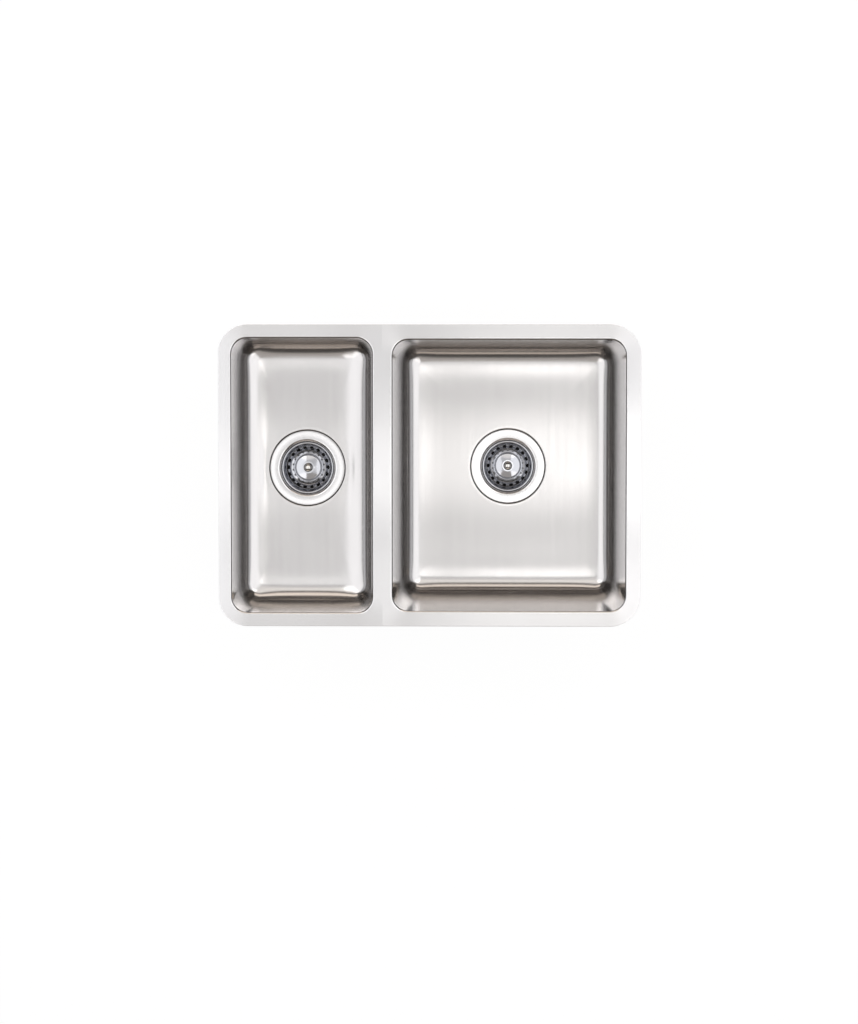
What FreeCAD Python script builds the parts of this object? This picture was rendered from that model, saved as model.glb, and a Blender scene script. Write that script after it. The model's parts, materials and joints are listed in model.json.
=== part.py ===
import FreeCAD, Part
import math
import os

# Undermount kitchen sink: a small and a main stainless bowl, pressed separately and butt welded
# along the middle of the divider. Each bowl has a basket waste: a flanged steel cup and a plastic
# body, drawn together through the bowl floor by a centre screw, with a basket that lifts out.
#
# Millimetres. The origin is on the rim's top face, on the weld line, midway from front to back.
# +X runs towards the main bowl, +Y towards the back and +Z up. A waste is modelled about its own
# axis, with its zero height on the bowl floor, and is then set in each bowl.

# Rim and bowls
SHEET = 1.0
RIM_LENGTH = 440.0
DIVIDER = 30.0
CORNER_R = 23.0
RIM_BEND_R = 3.0
BOTTOM_R = 23.0
FLOOR_CORNER_MARGIN = 4.0
DRAFT_DEG = 3.5
SMALL_WIDTH = 205.0
SMALL_DEPTH = 130.0
SMALL_SIDE_LAND = 19.0
SMALL_END_LAND = 20.0
MAIN_WIDTH = 339.0
MAIN_DEPTH = 200.0
MAIN_SIDE_LAND = 22.0
MAIN_END_LAND = 22.5
WASTE_SETBACK = 6.0

# Shallow pressed recess round each waste hole
RECESS_GAP = 1.4
RECESS_SLOPE = 1.6
RECESS_BEND_R = 1.6
RECESS_FOOT_R = 0.5
RECESS_APRON = 4.0
WASTE_HOLE_MARGIN = 0.9

# Sound-deadening pads under the bowl floors
PAD_THICKNESS = 3.0
PAD_CORNER_R = 8.0
PAD_CLEARANCE = 4.0

# Waste flange and cup, one steel pressing
CUP_SHEET = 1.0
THROAT_R = 39.6
THROAT_BEND_R = 4.5
FLANGE_WIDTH = 10.4
FLANGE_DROP = 0.6
CUP_BEND_R = 2.5
SEAT_WIDTH = 6.6
HUB_FLAT_MARGIN = 4.0
HUB_BEND_R = 2.0
DRAIN_COUNT = 8
DRAIN_R = 5.5

# Seals and plastic body
SEAL_MARGIN = 1.0
FLANGE_SEAL_THICKNESS = 1.4
BODY_SEAL_THICKNESS = 3.0
BODY_FLANGE_LAP = 10.0
BODY_FLANGE_THICKNESS = 5.0
BODY_WALL = 3.0
CUP_CLEARANCE = 1.0
BODY_CONE_DROP = 1.0
BODY_CONE_HEIGHT = 18.0
OUTLET_R = 23.9
OUTLET_WALL = 3.9
OUTLET_LENGTH = 26.0
HUB_WALL = 2.9
HUB_TAIL = 8.0
RIB_COUNT = 4
RIB_THICKNESS = 3.0
RIB_HEIGHT = 10.0
RIB_DROP = 4.0

# Centre screw, its brass insert and the nylon bush that grips the basket's stem
SCREW_R = 4.0
SCREW_HEAD_HEIGHT = 9.5
SCREW_HEAD_DROP = 1.5
SOCKET_WALL = 3.0
SCREW_END_GAP = 3.0
SCREW_CLEARANCE = 0.3
THREAD_CLEARANCE = 0.05
INSERT_WALL = 2.0
INSERT_LENGTH = 14.0
INSERT_COVER = 3.0
BUSH_WALL = 1.3
SOCKET_FLOOR = 1.5
RUNNING_CLEARANCE = 0.1

# Basket pressing
BASKET_SHEET = 0.8
BASKET_GAP = 0.6
LIP_DROP = 7.0
LIP_WIDTH = 2.8
LIP_TURN = 2.2
LIP_BEND_R = 1.3
BASKET_DEPTH = 24.0
BASKET_WALL_LEAN = 2.7
BASKET_FOOT_RUN = 7.0
BASKET_FOOT_RISE = 7.0
BASKET_FOOT_R = 3.0
BASKET_BASE_WIDTH = 6.3
BASKET_BASE_RISE = 2.4
BOSS_HEIGHT = 8.5
BOSS_CROWN = 1.5
BOSS_SIDE_LEAN = 0.8
BOSS_BEND_R = 1.2
BOSS_EDGE_R = 2.4
BOSS_FLAT_R = 9.0
HOLE_COUNT = 18
SMALL_HOLE_R = 1.5
LARGE_HOLE_R = 3.0

# Knob, stem and stopper under the basket
KNOB_R = 6.8
KNOB_NECK_R = 3.6
KNOB_NECK_HEIGHT = 3.5
KNOB_FLARE = 2.5
KNOB_SIDE = 1.5
KNOB_CROWN = 3.5
KNOB_BORE_DEPTH = 7.0
STEM_TOP_R = 2.5
STEM_BODY_R = 4.5
STEM_FOOT_R = 3.5
STOPPER_GAP = 4.2
STOPPER_THICKNESS = 1.0
STOPPER_SEAL_HEIGHT = 4.8
STOPPER_SEAL_SIDE_GAP = 3.6
STOPPER_SEAL_WALL = 5.0
STOPPER_SEAL_LAP = 3.5
SEAT_GAP = 0.2
RING_THICKNESS = 0.8
RING_R = 6.0
RING_GROOVE = 0.6
FIT_CLEARANCE = 0.05

CUT_OVERRUN = 20.0
POINT_TOLERANCE = 0.00001
FULL_TURN = 360.0
UP = FreeCAD.Vector(0, 0, 1)
ORIGIN = FreeCAD.Vector(0, 0, 0)

# Heights on a waste's axis, worked out from the bowl floor downwards
flange_top = -FLANGE_DROP
flange_underside = flange_top - CUP_SHEET
recess_floor = flange_underside - FLANGE_SEAL_THICKNESS
floor_underside = recess_floor - SHEET
body_top = floor_underside - BODY_SEAL_THICKNESS
lip_top = -LIP_DROP
basket_base = lip_top - BASKET_DEPTH
boss_top = basket_base + BOSS_HEIGHT
stopper_seal_top = basket_base - BASKET_SHEET - STOPPER_GAP
stopper_seal_base = stopper_seal_top - STOPPER_SEAL_HEIGHT
stopper_base = stopper_seal_base + (STOPPER_SEAL_HEIGHT - STOPPER_THICKNESS) / 2
stopper_top = stopper_base + STOPPER_THICKNESS
seat_top = stopper_seal_base - SEAT_GAP
screw_head_top = seat_top - SCREW_HEAD_DROP
hub_seat = screw_head_top - SCREW_HEAD_HEIGHT
socket_bottom = hub_seat + SOCKET_FLOOR
stem_end = socket_bottom + RUNNING_CLEARANCE + SEAT_GAP
hub_top = hub_seat - CUP_SHEET
insert_top = hub_top - INSERT_COVER
insert_end = insert_top - INSERT_LENGTH
hub_end = insert_end - HUB_TAIL
screw_end = hub_end + SCREW_END_GAP
cone_top = hub_top - BODY_CONE_DROP
outlet_top = cone_top - BODY_CONE_HEIGHT
outlet_end = outlet_top - OUTLET_LENGTH

# Radii that follow from other sizes
cup_outer_r = THROAT_R + CUP_SHEET
flange_flat_r = THROAT_R + THROAT_BEND_R
flange_r = flange_flat_r + FLANGE_WIDTH
waste_hole_r = flange_flat_r + WASTE_HOLE_MARGIN
recess_r = flange_r + RECESS_GAP
floor_corner_r = BOTTOM_R + FLOOR_CORNER_MARGIN
seat_inner_r = THROAT_R - SEAT_WIDTH
body_flange_r = waste_hole_r + BODY_FLANGE_LAP
body_bore_r = cup_outer_r + CUP_CLEARANCE
body_r = body_bore_r + BODY_WALL
outlet_bore_r = OUTLET_R - OUTLET_WALL
bush_bore_r = STEM_FOOT_R + RUNNING_CLEARANCE
bush_r = bush_bore_r + BUSH_WALL
socket_r = bush_r + RUNNING_CLEARANCE
screw_head_r = socket_r + SOCKET_WALL
hub_flat_r = screw_head_r + HUB_FLAT_MARGIN
insert_r = SCREW_R + THREAD_CLEARANCE + INSERT_WALL
insert_pocket_r = insert_r + FIT_CLEARANCE
hub_r = insert_pocket_r + HUB_WALL
lip_r = THROAT_R - BASKET_GAP
wall_top_r = lip_r - LIP_WIDTH
wall_foot_r = wall_top_r - BASKET_WALL_LEAN
foot_inner_r = wall_foot_r - BASKET_FOOT_RUN
boss_r = foot_inner_r - BASKET_BASE_WIDTH
stopper_seal_r = THROAT_R - STOPPER_SEAL_SIDE_GAP
stopper_r = stopper_seal_r - STOPPER_SEAL_WALL
stopper_seal_inner_r = stopper_r - STOPPER_SEAL_LAP

# The two bowls. side is the bowl's direction from the weld line, and land its outer side's rim.
BOWLS = {
    "small": {
        "side": -1,
        "width": SMALL_WIDTH,
        "length": RIM_LENGTH - 2 * SMALL_END_LAND,
        "depth": SMALL_DEPTH,
        "land": SMALL_SIDE_LAND,
    },
    "main": {
        "side": 1,
        "width": MAIN_WIDTH,
        "length": RIM_LENGTH - 2 * MAIN_END_LAND,
        "depth": MAIN_DEPTH,
        "land": MAIN_SIDE_LAND,
    },
}
for bowl in BOWLS.values():
    bowl["x"] = bowl["side"] * (DIVIDER / 2 + bowl["width"] / 2)


def point(radius, height):
    """A point of a section, which is drawn in the XZ plane."""
    return FreeCAD.Vector(radius, 0, height)


def section_edges(corners, radii):
    """Lines through the corners, with an arc of each radius at the corners between the ends."""
    edges = []
    begin = corners[0]
    for corner, after, radius, before in zip(corners[1:], corners[2:], radii, corners):
        arrive = (corner - before).normalize()
        leave = (after - corner).normalize()
        half_turn = arrive.getAngle(leave) / 2
        if radius <= 0 or half_turn == 0:
            edges.append(Part.LineSegment(begin, corner).toShape())
            begin = corner
            continue
        reach = radius * math.tan(half_turn)
        arc_start = corner - arrive * reach
        arc_end = corner + leave * reach
        bisector = (leave - arrive).normalize()
        centre = corner + bisector * (radius / math.cos(half_turn))
        if not begin.isEqual(arc_start, POINT_TOLERANCE):
            edges.append(Part.LineSegment(begin, arc_start).toShape())
        edges.append(Part.Arc(arc_start, centre - bisector * radius, arc_end).toShape())
        begin = arc_end
    edges.append(Part.LineSegment(begin, corners[-1]).toShape())
    return edges


def right_side(start, end):
    """The unit vector to the right of the way from start to end, in the XZ plane."""
    way = (end - start).normalize()
    return FreeCAD.Vector(way.z, 0, -way.x)


def sheet_section(corners, radii, thickness):
    """A closed face of sheet metal: its skin follows the corners, and the sheet lies to their right."""
    normals = [right_side(a, b) for a, b in zip(corners, corners[1:])]
    back = [corners[0] + normals[0] * thickness]
    back_radii = []
    for corner, radius, before, after in zip(corners[1:], radii, normals, normals[1:]):
        back.append(corner + (before + after) * (thickness / (1 + before.dot(after))))
        turns_right = before.cross(after).y > 0
        back_radii.append(radius - thickness if turns_right else radius + thickness)
    back.append(corners[-1] + normals[-1] * thickness)
    edges = section_edges(corners, radii) + section_edges(back, back_radii)
    edges.append(Part.LineSegment(corners[0], back[0]).toShape())
    edges.append(Part.LineSegment(corners[-1], back[-1]).toShape())
    return Part.Face(Part.Wire(Part.__sortEdges__(edges)))


def solid_section(corners):
    """A closed face whose outline runs straight from corner to corner and back to the first one."""
    return Part.Face(Part.makePolygon(corners + corners[:1]))


def turned(face):
    """The face turned a full circle about the Z axis."""
    return face.revolve(ORIGIN, UP, FULL_TURN)


def ring(inner, outer, bottom, top):
    """A plain round washer or bush about the Z axis."""
    corners = [point(inner, bottom), point(outer, bottom), point(outer, top), point(inner, top)]
    return turned(solid_section(corners))


def disc(radius, bottom, top):
    """A plain round bar about the Z axis."""
    return Part.makeCylinder(radius, top - bottom, FreeCAD.Vector(0, 0, bottom))


def around(tool, count):
    """Copies of a tool, evenly spaced round the Z axis, as one shape to cut with."""
    copies = []
    for index in range(count):
        copy = tool.copy()
        copy.rotate(ORIGIN, UP, FULL_TURN * index / count)
        copies.append(copy)
    return Part.makeCompound(copies)


def rounded_rectangle(low_x, high_x, low_y, high_y, radii):
    """A flat face at zero height. The radii start at the low corner and run anticlockwise."""
    corners = [
        (low_x, low_y, 1, 1),
        (high_x, low_y, -1, 1),
        (high_x, high_y, -1, -1),
        (low_x, high_y, 1, -1),
    ]
    ends = []
    edges = []
    for index, ((x, y, into_x, into_y), radius) in enumerate(zip(corners, radii)):
        along_x = FreeCAD.Vector(x + into_x * radius, y, 0)
        along_y = FreeCAD.Vector(x, y + into_y * radius, 0)
        first, last = (along_y, along_x) if index % 2 == 0 else (along_x, along_y)
        if radius > 0:
            diagonal = radius * (1 - math.sqrt(1 / 2))
            middle = FreeCAD.Vector(x + into_x * diagonal, y + into_y * diagonal, 0)
            edges.append(Part.Arc(first, middle, last).toShape())
        ends.append((first, last))
    for (_, leave), (arrive, _) in zip(ends, ends[1:] + ends[:1]):
        edges.append(Part.LineSegment(leave, arrive).toShape())
    return Part.Face(Part.Wire(Part.__sortEdges__(edges)))


def bowl_fill(bowl, grow):
    """What would fill a bowl to the brim, grown by grow on its walls and floor.

    The walls are ruled from the opening to a smaller rectangle on the floor, with rounder corners, and
    the edge of the floor is then rounded.
    """
    depth = bowl["depth"] + grow
    lean = depth * math.tan(math.radians(DRAFT_DEG))
    rings = []
    for inset, radius, height in [(0, CORNER_R, 0), (lean, floor_corner_r, -depth)]:
        half_x = bowl["width"] / 2 + grow - inset
        half_y = bowl["length"] / 2 + grow - inset
        ring_face = rounded_rectangle(-half_x, half_x, -half_y, half_y, [radius + grow] * 4)
        ring_face.translate(FreeCAD.Vector(0, 0, height))
        rings.append(ring_face.OuterWire)
    fill = Part.makeLoft(rings, True, True)
    floor_edges = [edge for edge in fill.Edges if edge.BoundBox.ZMax < POINT_TOLERANCE - depth]
    return fill.makeFillet(BOTTOM_R + grow, floor_edges)


def mouth_edges(pressing, bowl, height):
    """The edges at one height that run round a bowl's opening, and not round the rim."""
    near_x = bowl["width"] / 2 + 2 * SHEET
    near_y = bowl["length"] / 2 + 2 * SHEET
    found = []
    for edge in pressing.Edges:
        box = edge.BoundBox
        level = max(abs(box.ZMin - height), abs(box.ZMax - height)) < POINT_TOLERANCE
        if level and max(box.XMax, -box.XMin) < near_x and max(box.YMax, -box.YMin) < near_y:
            found.append(edge)
    return found


def recess_section():
    """The step round the waste hole, from the hole's edge out to the flat floor."""
    corners = [
        point(waste_hole_r, recess_floor),
        point(recess_r, recess_floor),
        point(recess_r + RECESS_SLOPE, 0),
        point(recess_r + RECESS_SLOPE + RECESS_APRON, 0),
    ]
    return sheet_section(corners, [RECESS_FOOT_R, RECESS_BEND_R], SHEET), corners[-1].x


def make_bowl(bowl):
    """One pressing: rim, walls, floor and waste recess."""
    solid = make_rim(bowl).fuse(bowl_fill(bowl, SHEET)).removeSplitter()
    solid = solid.makeFillet(RIM_BEND_R - SHEET, mouth_edges(solid, bowl, -SHEET))
    pressing = solid.cut(bowl_fill(bowl, 0))
    pressing = pressing.makeFillet(RIM_BEND_R, mouth_edges(pressing, bowl, 0))
    recess, apron_r = recess_section()
    at_waste = FreeCAD.Vector(0, WASTE_SETBACK, -bowl["depth"])
    opening = disc(apron_r, -SHEET - CUT_OVERRUN, CUT_OVERRUN)
    opening.translate(at_waste)
    step = turned(recess)
    step.translate(at_waste)
    pressing = pressing.cut(opening).fuse(step).removeSplitter()
    pressing.translate(FreeCAD.Vector(bowl["x"], 0, 0))
    return pressing


def make_rim(bowl):
    """The flat rim of one bowl before its opening is made, from the weld line to its outer edge."""
    weld_x = -bowl["x"]
    outer_x = bowl["side"] * (bowl["width"] / 2 + bowl["land"])
    outer_r = CORNER_R + bowl["land"]
    half_rim = RIM_LENGTH / 2
    if bowl["side"] > 0:
        outline = rounded_rectangle(weld_x, outer_x, -half_rim, half_rim, [0, outer_r, outer_r, 0])
    else:
        outline = rounded_rectangle(outer_x, weld_x, -half_rim, half_rim, [outer_r, 0, 0, outer_r])
    return outline.extrude(FreeCAD.Vector(0, 0, -SHEET))


def make_pads(bowl):
    """Two flat pads glued under the floor, in front of the waste and behind it."""
    draft = math.radians(DRAFT_DEG)
    bend_reach = BOTTOM_R * math.tan((math.pi / 2 - draft) / 2)
    floor_inset = bowl["depth"] * math.tan(draft) + bend_reach + PAD_CLEARANCE
    half_x = bowl["width"] / 2 - floor_inset
    half_y = bowl["length"] / 2 - floor_inset
    keep_out = recess_r + RECESS_SLOPE + PAD_CLEARANCE
    spans = {
        "back": (WASTE_SETBACK + keep_out, half_y),
        "front": (-half_y, WASTE_SETBACK - keep_out),
    }
    pads = {}
    for place, (low_y, high_y) in spans.items():
        outline = rounded_rectangle(-half_x, half_x, low_y, high_y, [PAD_CORNER_R] * 4)
        pad = outline.extrude(FreeCAD.Vector(0, 0, -PAD_THICKNESS))
        pad.translate(FreeCAD.Vector(bowl["x"], 0, -bowl["depth"] - SHEET))
        pads[place] = pad
    return pads


def make_waste_flange():
    """Flange, cup and dished base in one pressing, with drain holes and a hole for the centre screw."""
    corners = [
        point(SCREW_R + SCREW_CLEARANCE, hub_seat),
        point(hub_flat_r, hub_seat),
        point(seat_inner_r, seat_top),
        point(THROAT_R, seat_top),
        point(THROAT_R, flange_top),
        point(flange_r, flange_top),
    ]
    radii = [HUB_BEND_R, HUB_BEND_R, CUP_BEND_R, THROAT_BEND_R]
    cup = turned(sheet_section(corners, radii, CUP_SHEET))
    drain = disc(DRAIN_R, hub_top - CUT_OVERRUN, seat_top)
    drain.translate(FreeCAD.Vector((hub_flat_r + seat_inner_r) / 2, 0, 0))
    return cup.cut(around(drain, DRAIN_COUNT))


def make_flange_seal():
    """Rubber ring between the flange and the recess floor."""
    return ring(waste_hole_r + SEAL_MARGIN, flange_r - SEAL_MARGIN, recess_floor, flange_underside)


def make_body_seal():
    """Thick rubber ring between the underside of the bowl and the plastic body."""
    return ring(waste_hole_r + SEAL_MARGIN, body_flange_r - SEAL_MARGIN, body_top, floor_underside)


def make_waste_body():
    """Moulded body: clamp flange, funnel, threaded outlet, and a hub on ribs for the screw's insert."""
    outside_corners = [
        point(0, body_top),
        point(body_flange_r, body_top),
        point(body_flange_r, body_top - BODY_FLANGE_THICKNESS),
        point(body_r, body_top - BODY_FLANGE_THICKNESS),
        point(body_r, cone_top),
        point(OUTLET_R, outlet_top),
        point(OUTLET_R, outlet_end),
        point(0, outlet_end),
    ]
    inside_corners = [
        point(0, body_top + CUT_OVERRUN),
        point(body_bore_r, body_top + CUT_OVERRUN),
        point(body_bore_r, cone_top),
        point(outlet_bore_r, outlet_top + BODY_WALL / 2),
        point(outlet_bore_r, outlet_end - CUT_OVERRUN),
        point(0, outlet_end - CUT_OVERRUN),
    ]
    outside = turned(solid_section(outside_corners))
    inside = turned(solid_section(inside_corners))
    rib_top = hub_top - RIB_DROP
    rib = Part.makeBox(
        body_r, RIB_THICKNESS, RIB_HEIGHT, FreeCAD.Vector(0, -RIB_THICKNESS / 2, rib_top - RIB_HEIGHT)
    )
    spider = disc(hub_r, hub_end, hub_top).fuse(around(rib, RIB_COUNT).Solids)
    body = outside.cut(inside).fuse(spider.common(outside)).removeSplitter()
    pocket = disc(insert_pocket_r, insert_end, insert_top)
    return body.cut([pocket, disc(SCREW_R + SCREW_CLEARANCE, outlet_end, hub_top + CUT_OVERRUN)])


def make_insert():
    """Brass insert moulded into the body's hub, which the centre screw threads into."""
    return ring(SCREW_R + THREAD_CLEARANCE, insert_r, insert_end, insert_top)


def make_screw():
    """Centre screw that draws the cup and the body together, with a socket for the bush."""
    head = disc(screw_head_r, hub_seat, screw_head_top)
    screw = head.fuse(disc(SCREW_R, screw_end, hub_seat)).removeSplitter()
    return screw.cut(disc(socket_r, socket_bottom, screw_head_top + CUT_OVERRUN))


def make_bush():
    """Nylon bush that turns in the screw's socket and grips the stem."""
    return ring(bush_bore_r, bush_r, socket_bottom + RUNNING_CLEARANCE, screw_head_top)


def hole_tools(start, end, radius, first_angle):
    """Drills for a ring of holes, square to the sloping run from start to end, at its middle."""
    through = right_side(start, end)
    reach = (end - start).Length / 2
    drill = Part.makeCylinder(radius, 2 * reach, (start + end) / 2 - through * reach, through)
    drill.rotate(ORIGIN, UP, first_angle)
    return around(drill, HOLE_COUNT)


def make_basket():
    """Perforated basket: turned-down lip, sloping wall, foot and base, and a raised centre boss."""
    boss_foot = point(boss_r, basket_base)
    base_edge = point(foot_inner_r, basket_base + BASKET_BASE_RISE)
    wall_foot = point(wall_foot_r, basket_base + BASKET_BASE_RISE + BASKET_FOOT_RISE)
    corners = [
        point(STEM_TOP_R + RUNNING_CLEARANCE, boss_top),
        point(BOSS_FLAT_R, boss_top),
        point(boss_r - BOSS_SIDE_LEAN, boss_top - BOSS_CROWN),
        boss_foot,
        base_edge,
        wall_foot,
        point(wall_top_r, lip_top),
        point(lip_r, lip_top),
        point(lip_r, lip_top - LIP_TURN),
    ]
    radii = [0, BOSS_EDGE_R, BOSS_BEND_R, BASKET_FOOT_R, BASKET_FOOT_R, LIP_BEND_R, LIP_BEND_R]
    basket = turned(sheet_section(corners, radii, BASKET_SHEET))
    small_holes = hole_tools(boss_foot, base_edge, SMALL_HOLE_R, FULL_TURN / HOLE_COUNT / 2)
    large_holes = hole_tools(base_edge, wall_foot, LARGE_HOLE_R, 0)
    return basket.cut([small_holes, large_holes])


def make_knob():
    """Polished pull knob that screws onto the top of the stem."""
    neck_top = boss_top + KNOB_NECK_HEIGHT
    side_low = neck_top + KNOB_FLARE
    side_high = side_low + KNOB_SIDE
    crown_r = (KNOB_R**2 + KNOB_CROWN**2) / (2 * KNOB_CROWN)
    half_angle = math.asin(KNOB_R / crown_r) / 2
    crown_top = point(0, side_high + KNOB_CROWN)
    crown_middle = crown_top + point(math.sin(half_angle), math.cos(half_angle) - 1) * crown_r
    lines = [
        point(0, boss_top),
        point(KNOB_NECK_R, boss_top),
        point(KNOB_NECK_R, neck_top),
        point(KNOB_R, side_low),
        point(KNOB_R, side_high),
    ]
    edges = [Part.LineSegment(a, b).toShape() for a, b in zip(lines, lines[1:])]
    edges.append(Part.Arc(lines[-1], crown_middle, crown_top).toShape())
    edges.append(Part.LineSegment(crown_top, lines[0]).toShape())
    knob = turned(Part.Face(Part.Wire(edges)))
    return knob.cut(disc(STEM_TOP_R + FIT_CLEARANCE, boss_top - CUT_OVERRUN, boss_top + KNOB_BORE_DEPTH))


def make_stem():
    """Stem that carries the knob, the basket and the stopper, and plugs into the bush."""
    shoulder = boss_top - BASKET_SHEET
    corners = [
        point(0, stem_end),
        point(STEM_FOOT_R, stem_end),
        point(STEM_FOOT_R, stopper_top),
        point(STEM_BODY_R, stopper_top),
        point(STEM_BODY_R, shoulder),
        point(STEM_TOP_R, shoulder),
        point(STEM_TOP_R, boss_top + KNOB_BORE_DEPTH - FIT_CLEARANCE),
        point(0, boss_top + KNOB_BORE_DEPTH - FIT_CLEARANCE),
    ]
    groove = ring(
        STEM_FOOT_R - RING_GROOVE,
        STEM_FOOT_R + CUT_OVERRUN,
        stopper_base - RING_THICKNESS - FIT_CLEARANCE,
        stopper_base,
    )
    return turned(solid_section(corners)).cut(groove)


def make_stopper_plate():
    """Steel disc under the basket, held against the stem's shoulder."""
    return ring(STEM_FOOT_R + FIT_CLEARANCE, stopper_r, stopper_base, stopper_top)


def make_stopper_seal():
    """Rubber ring snapped over the plate's edge, which closes on the seat in the cup."""
    plain = ring(stopper_seal_inner_r, stopper_seal_r, stopper_seal_base, stopper_seal_top)
    groove_bottom = stopper_base - FIT_CLEARANCE
    groove_top = stopper_top + FIT_CLEARANCE
    return plain.cut(disc(stopper_r + FIT_CLEARANCE, groove_bottom, groove_top))


def make_retaining_ring():
    """Spring ring in the stem's groove that keeps the stopper on."""
    inner = STEM_FOOT_R - RING_GROOVE + FIT_CLEARANCE
    return ring(inner, RING_R, stopper_base - RING_THICKNESS, stopper_base)


def main():
    os.makedirs("parts", exist_ok=True)
    waste = {
        "waste_flange": make_waste_flange(),
        "flange_seal": make_flange_seal(),
        "body_seal": make_body_seal(),
        "waste_body": make_waste_body(),
        "screw_insert": make_insert(),
        "centre_screw": make_screw(),
        "grip_bush": make_bush(),
        "basket": make_basket(),
        "pull_knob": make_knob(),
        "basket_stem": make_stem(),
        "stopper_plate": make_stopper_plate(),
        "stopper_seal": make_stopper_seal(),
        "retaining_ring": make_retaining_ring(),
    }
    nodes = {}
    for name, bowl in BOWLS.items():
        nodes[f"{name}_bowl"] = make_bowl(bowl)
        for place, pad in make_pads(bowl).items():
            nodes[f"{name}_sound_pad_{place}"] = pad
        for piece, shape in waste.items():
            placed = shape.copy()
            placed.translate(FreeCAD.Vector(bowl["x"], WASTE_SETBACK, -bowl["depth"]))
            nodes[f"{name}_{piece}"] = placed
    for name, shape in nodes.items():
        print(name, "solids", len(shape.Solids), "valid", shape.isValid(), "volume", round(shape.Volume, 1))
        shape.exportStep(f"parts/{name}.step")


main()
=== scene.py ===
import json
import math

import bmesh
import bpy
import numpy as np
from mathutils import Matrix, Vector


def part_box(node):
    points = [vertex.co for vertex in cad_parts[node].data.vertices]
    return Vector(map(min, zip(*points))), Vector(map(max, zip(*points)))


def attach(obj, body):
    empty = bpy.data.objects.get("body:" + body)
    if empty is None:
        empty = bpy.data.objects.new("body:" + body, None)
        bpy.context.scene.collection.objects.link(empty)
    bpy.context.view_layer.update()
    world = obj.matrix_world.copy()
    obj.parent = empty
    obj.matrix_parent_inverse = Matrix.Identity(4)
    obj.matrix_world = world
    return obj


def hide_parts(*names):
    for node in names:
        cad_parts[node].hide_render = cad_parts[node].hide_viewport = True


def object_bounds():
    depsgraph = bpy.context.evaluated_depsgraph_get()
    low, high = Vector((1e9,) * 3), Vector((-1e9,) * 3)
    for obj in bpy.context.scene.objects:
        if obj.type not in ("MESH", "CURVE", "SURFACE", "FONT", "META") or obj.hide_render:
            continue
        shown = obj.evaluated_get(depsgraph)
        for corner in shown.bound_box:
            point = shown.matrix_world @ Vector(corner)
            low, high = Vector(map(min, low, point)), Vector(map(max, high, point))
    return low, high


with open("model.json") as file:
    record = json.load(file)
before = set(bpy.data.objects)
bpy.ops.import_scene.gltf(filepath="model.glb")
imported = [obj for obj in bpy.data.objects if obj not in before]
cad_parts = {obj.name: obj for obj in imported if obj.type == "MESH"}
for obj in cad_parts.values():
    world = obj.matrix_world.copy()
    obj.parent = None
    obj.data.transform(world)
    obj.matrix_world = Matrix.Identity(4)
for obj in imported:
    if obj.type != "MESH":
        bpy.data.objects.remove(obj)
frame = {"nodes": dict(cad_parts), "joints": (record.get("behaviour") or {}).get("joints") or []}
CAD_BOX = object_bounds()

bl_info = {
    "name": "Double-bowl undermount sink",
    "version": (1, 0, 0),
    "blender": (4, 5, 0),
    "location": "3D View > Sidebar > Sink",
    "description": "Dresses the packed model of a kitchen sink: pressed bowls, wastes and strainers",
    "category": "Add Mesh",
}

MM = 0.001
BOWL_NAMES = ("small", "main")
PAD_PLACES = ("back", "front")

# Brush marks: a UV map whose U runs across the marks, and a corner attribute whose first two parts run
# along them and whose third runs across, all in metres.
BRUSH_UV = "brush_uv"
BRUSH_WAY = "brush_way"

# How finely the surfaces are divided, and how much closer the floor's rows are by the wall
ARC_STEPS = 8
TURN_STEPS = 144
CORNER_STEPS = 20
SIDE_STEP = 8 * MM
LAND_STEPS = 5
WALL_STEPS = 10
FLOOR_STEPS = 24
FLOOR_CROWDING = 1.5
HOLE_STEPS = 4
THREAD_STEPS = 80
SQUARE_STEPS = 8
PAD_EDGE_STEPS = 8

# Points nearer than this are one, and edges that turn more than this are sharp
WELD_DISTANCE = 0.002 * MM
SHARP_ANGLE = math.radians(34)
# A facing's smaller part, where it is used as a divisor, and where it counts as turning
LEAST_PART = 1e-9
TURNING_PART = 1e-6
# Width of the row that keeps the rounded edge's shading off the land
EDGE_BAND = 0.4 * MM
# How far the floor's rise goes on into the bottom bend, in floor eases
BEND_REACH = 1.4
# Points of a knob's crown that the rounding of its edge takes over
CROWN_LEAD = 3
# Share of a pad's half width at each edge where its points are closer
PAD_EDGE_SHARE = 0.01

# Which part of a sloping run is pierced, as shares of it
DRAIN_RUN = (0.16, 0.84)
BASE_RUN = (0.25, 0.75)
FOOT_RUN = (0.12, 0.88)

# Spacing in millimetres of a metal's soft patches, of its sheet's waves and of a moulding's flow marks
PATCH_SPACING = (70, 70, 70)
WAVE_SPACING = (90, 90, 90)
FLOW_SPACING = (25, 25, 40)
# How much longer and wider than a brush mark a streak is, and its tone
STREAK_LENGTHS = 5
STREAK_WIDTHS = 6
STREAK_TONE = 0.97
# The part of its range that a noise mostly keeps to, alone and as the sum of two
NOISE_SPAN = (0.3, 0.7)
NOISE_SUM_SPAN = (0.6, 1.4)
# Heights between which the rim's lighter tone, a painted highlight, takes over from the bowl's brushed tone
RIM_HIGHLIGHT_FADE = (-12 * MM, -1 * MM)

# The picture's height, and how large a metre at the rim is in it, in pixels
IMAGE_HEIGHT = 1024
PIXELS_PER_METRE = 686.5

# Where the camera stands and looks, in metres, and its sensor's width in millimetres
CAMERA_PLACE = np.array((0.148, 0.178, 4.0))
CAMERA_AIM = np.array((0.068, -0.0527, 0.0))
SENSOR_WIDTH = 36.0

# Half the floor's width and its gap under the outlets, in metres, then how much of it looks plain white to
# the eye and in reflections, and how bright that white is
FLOOR_REACH = 40.0
FLOOR_GAP = 1 * MM
FLOOR_WHITE_SHARE = 0.9
FLOOR_WHITE = 1.06

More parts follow.
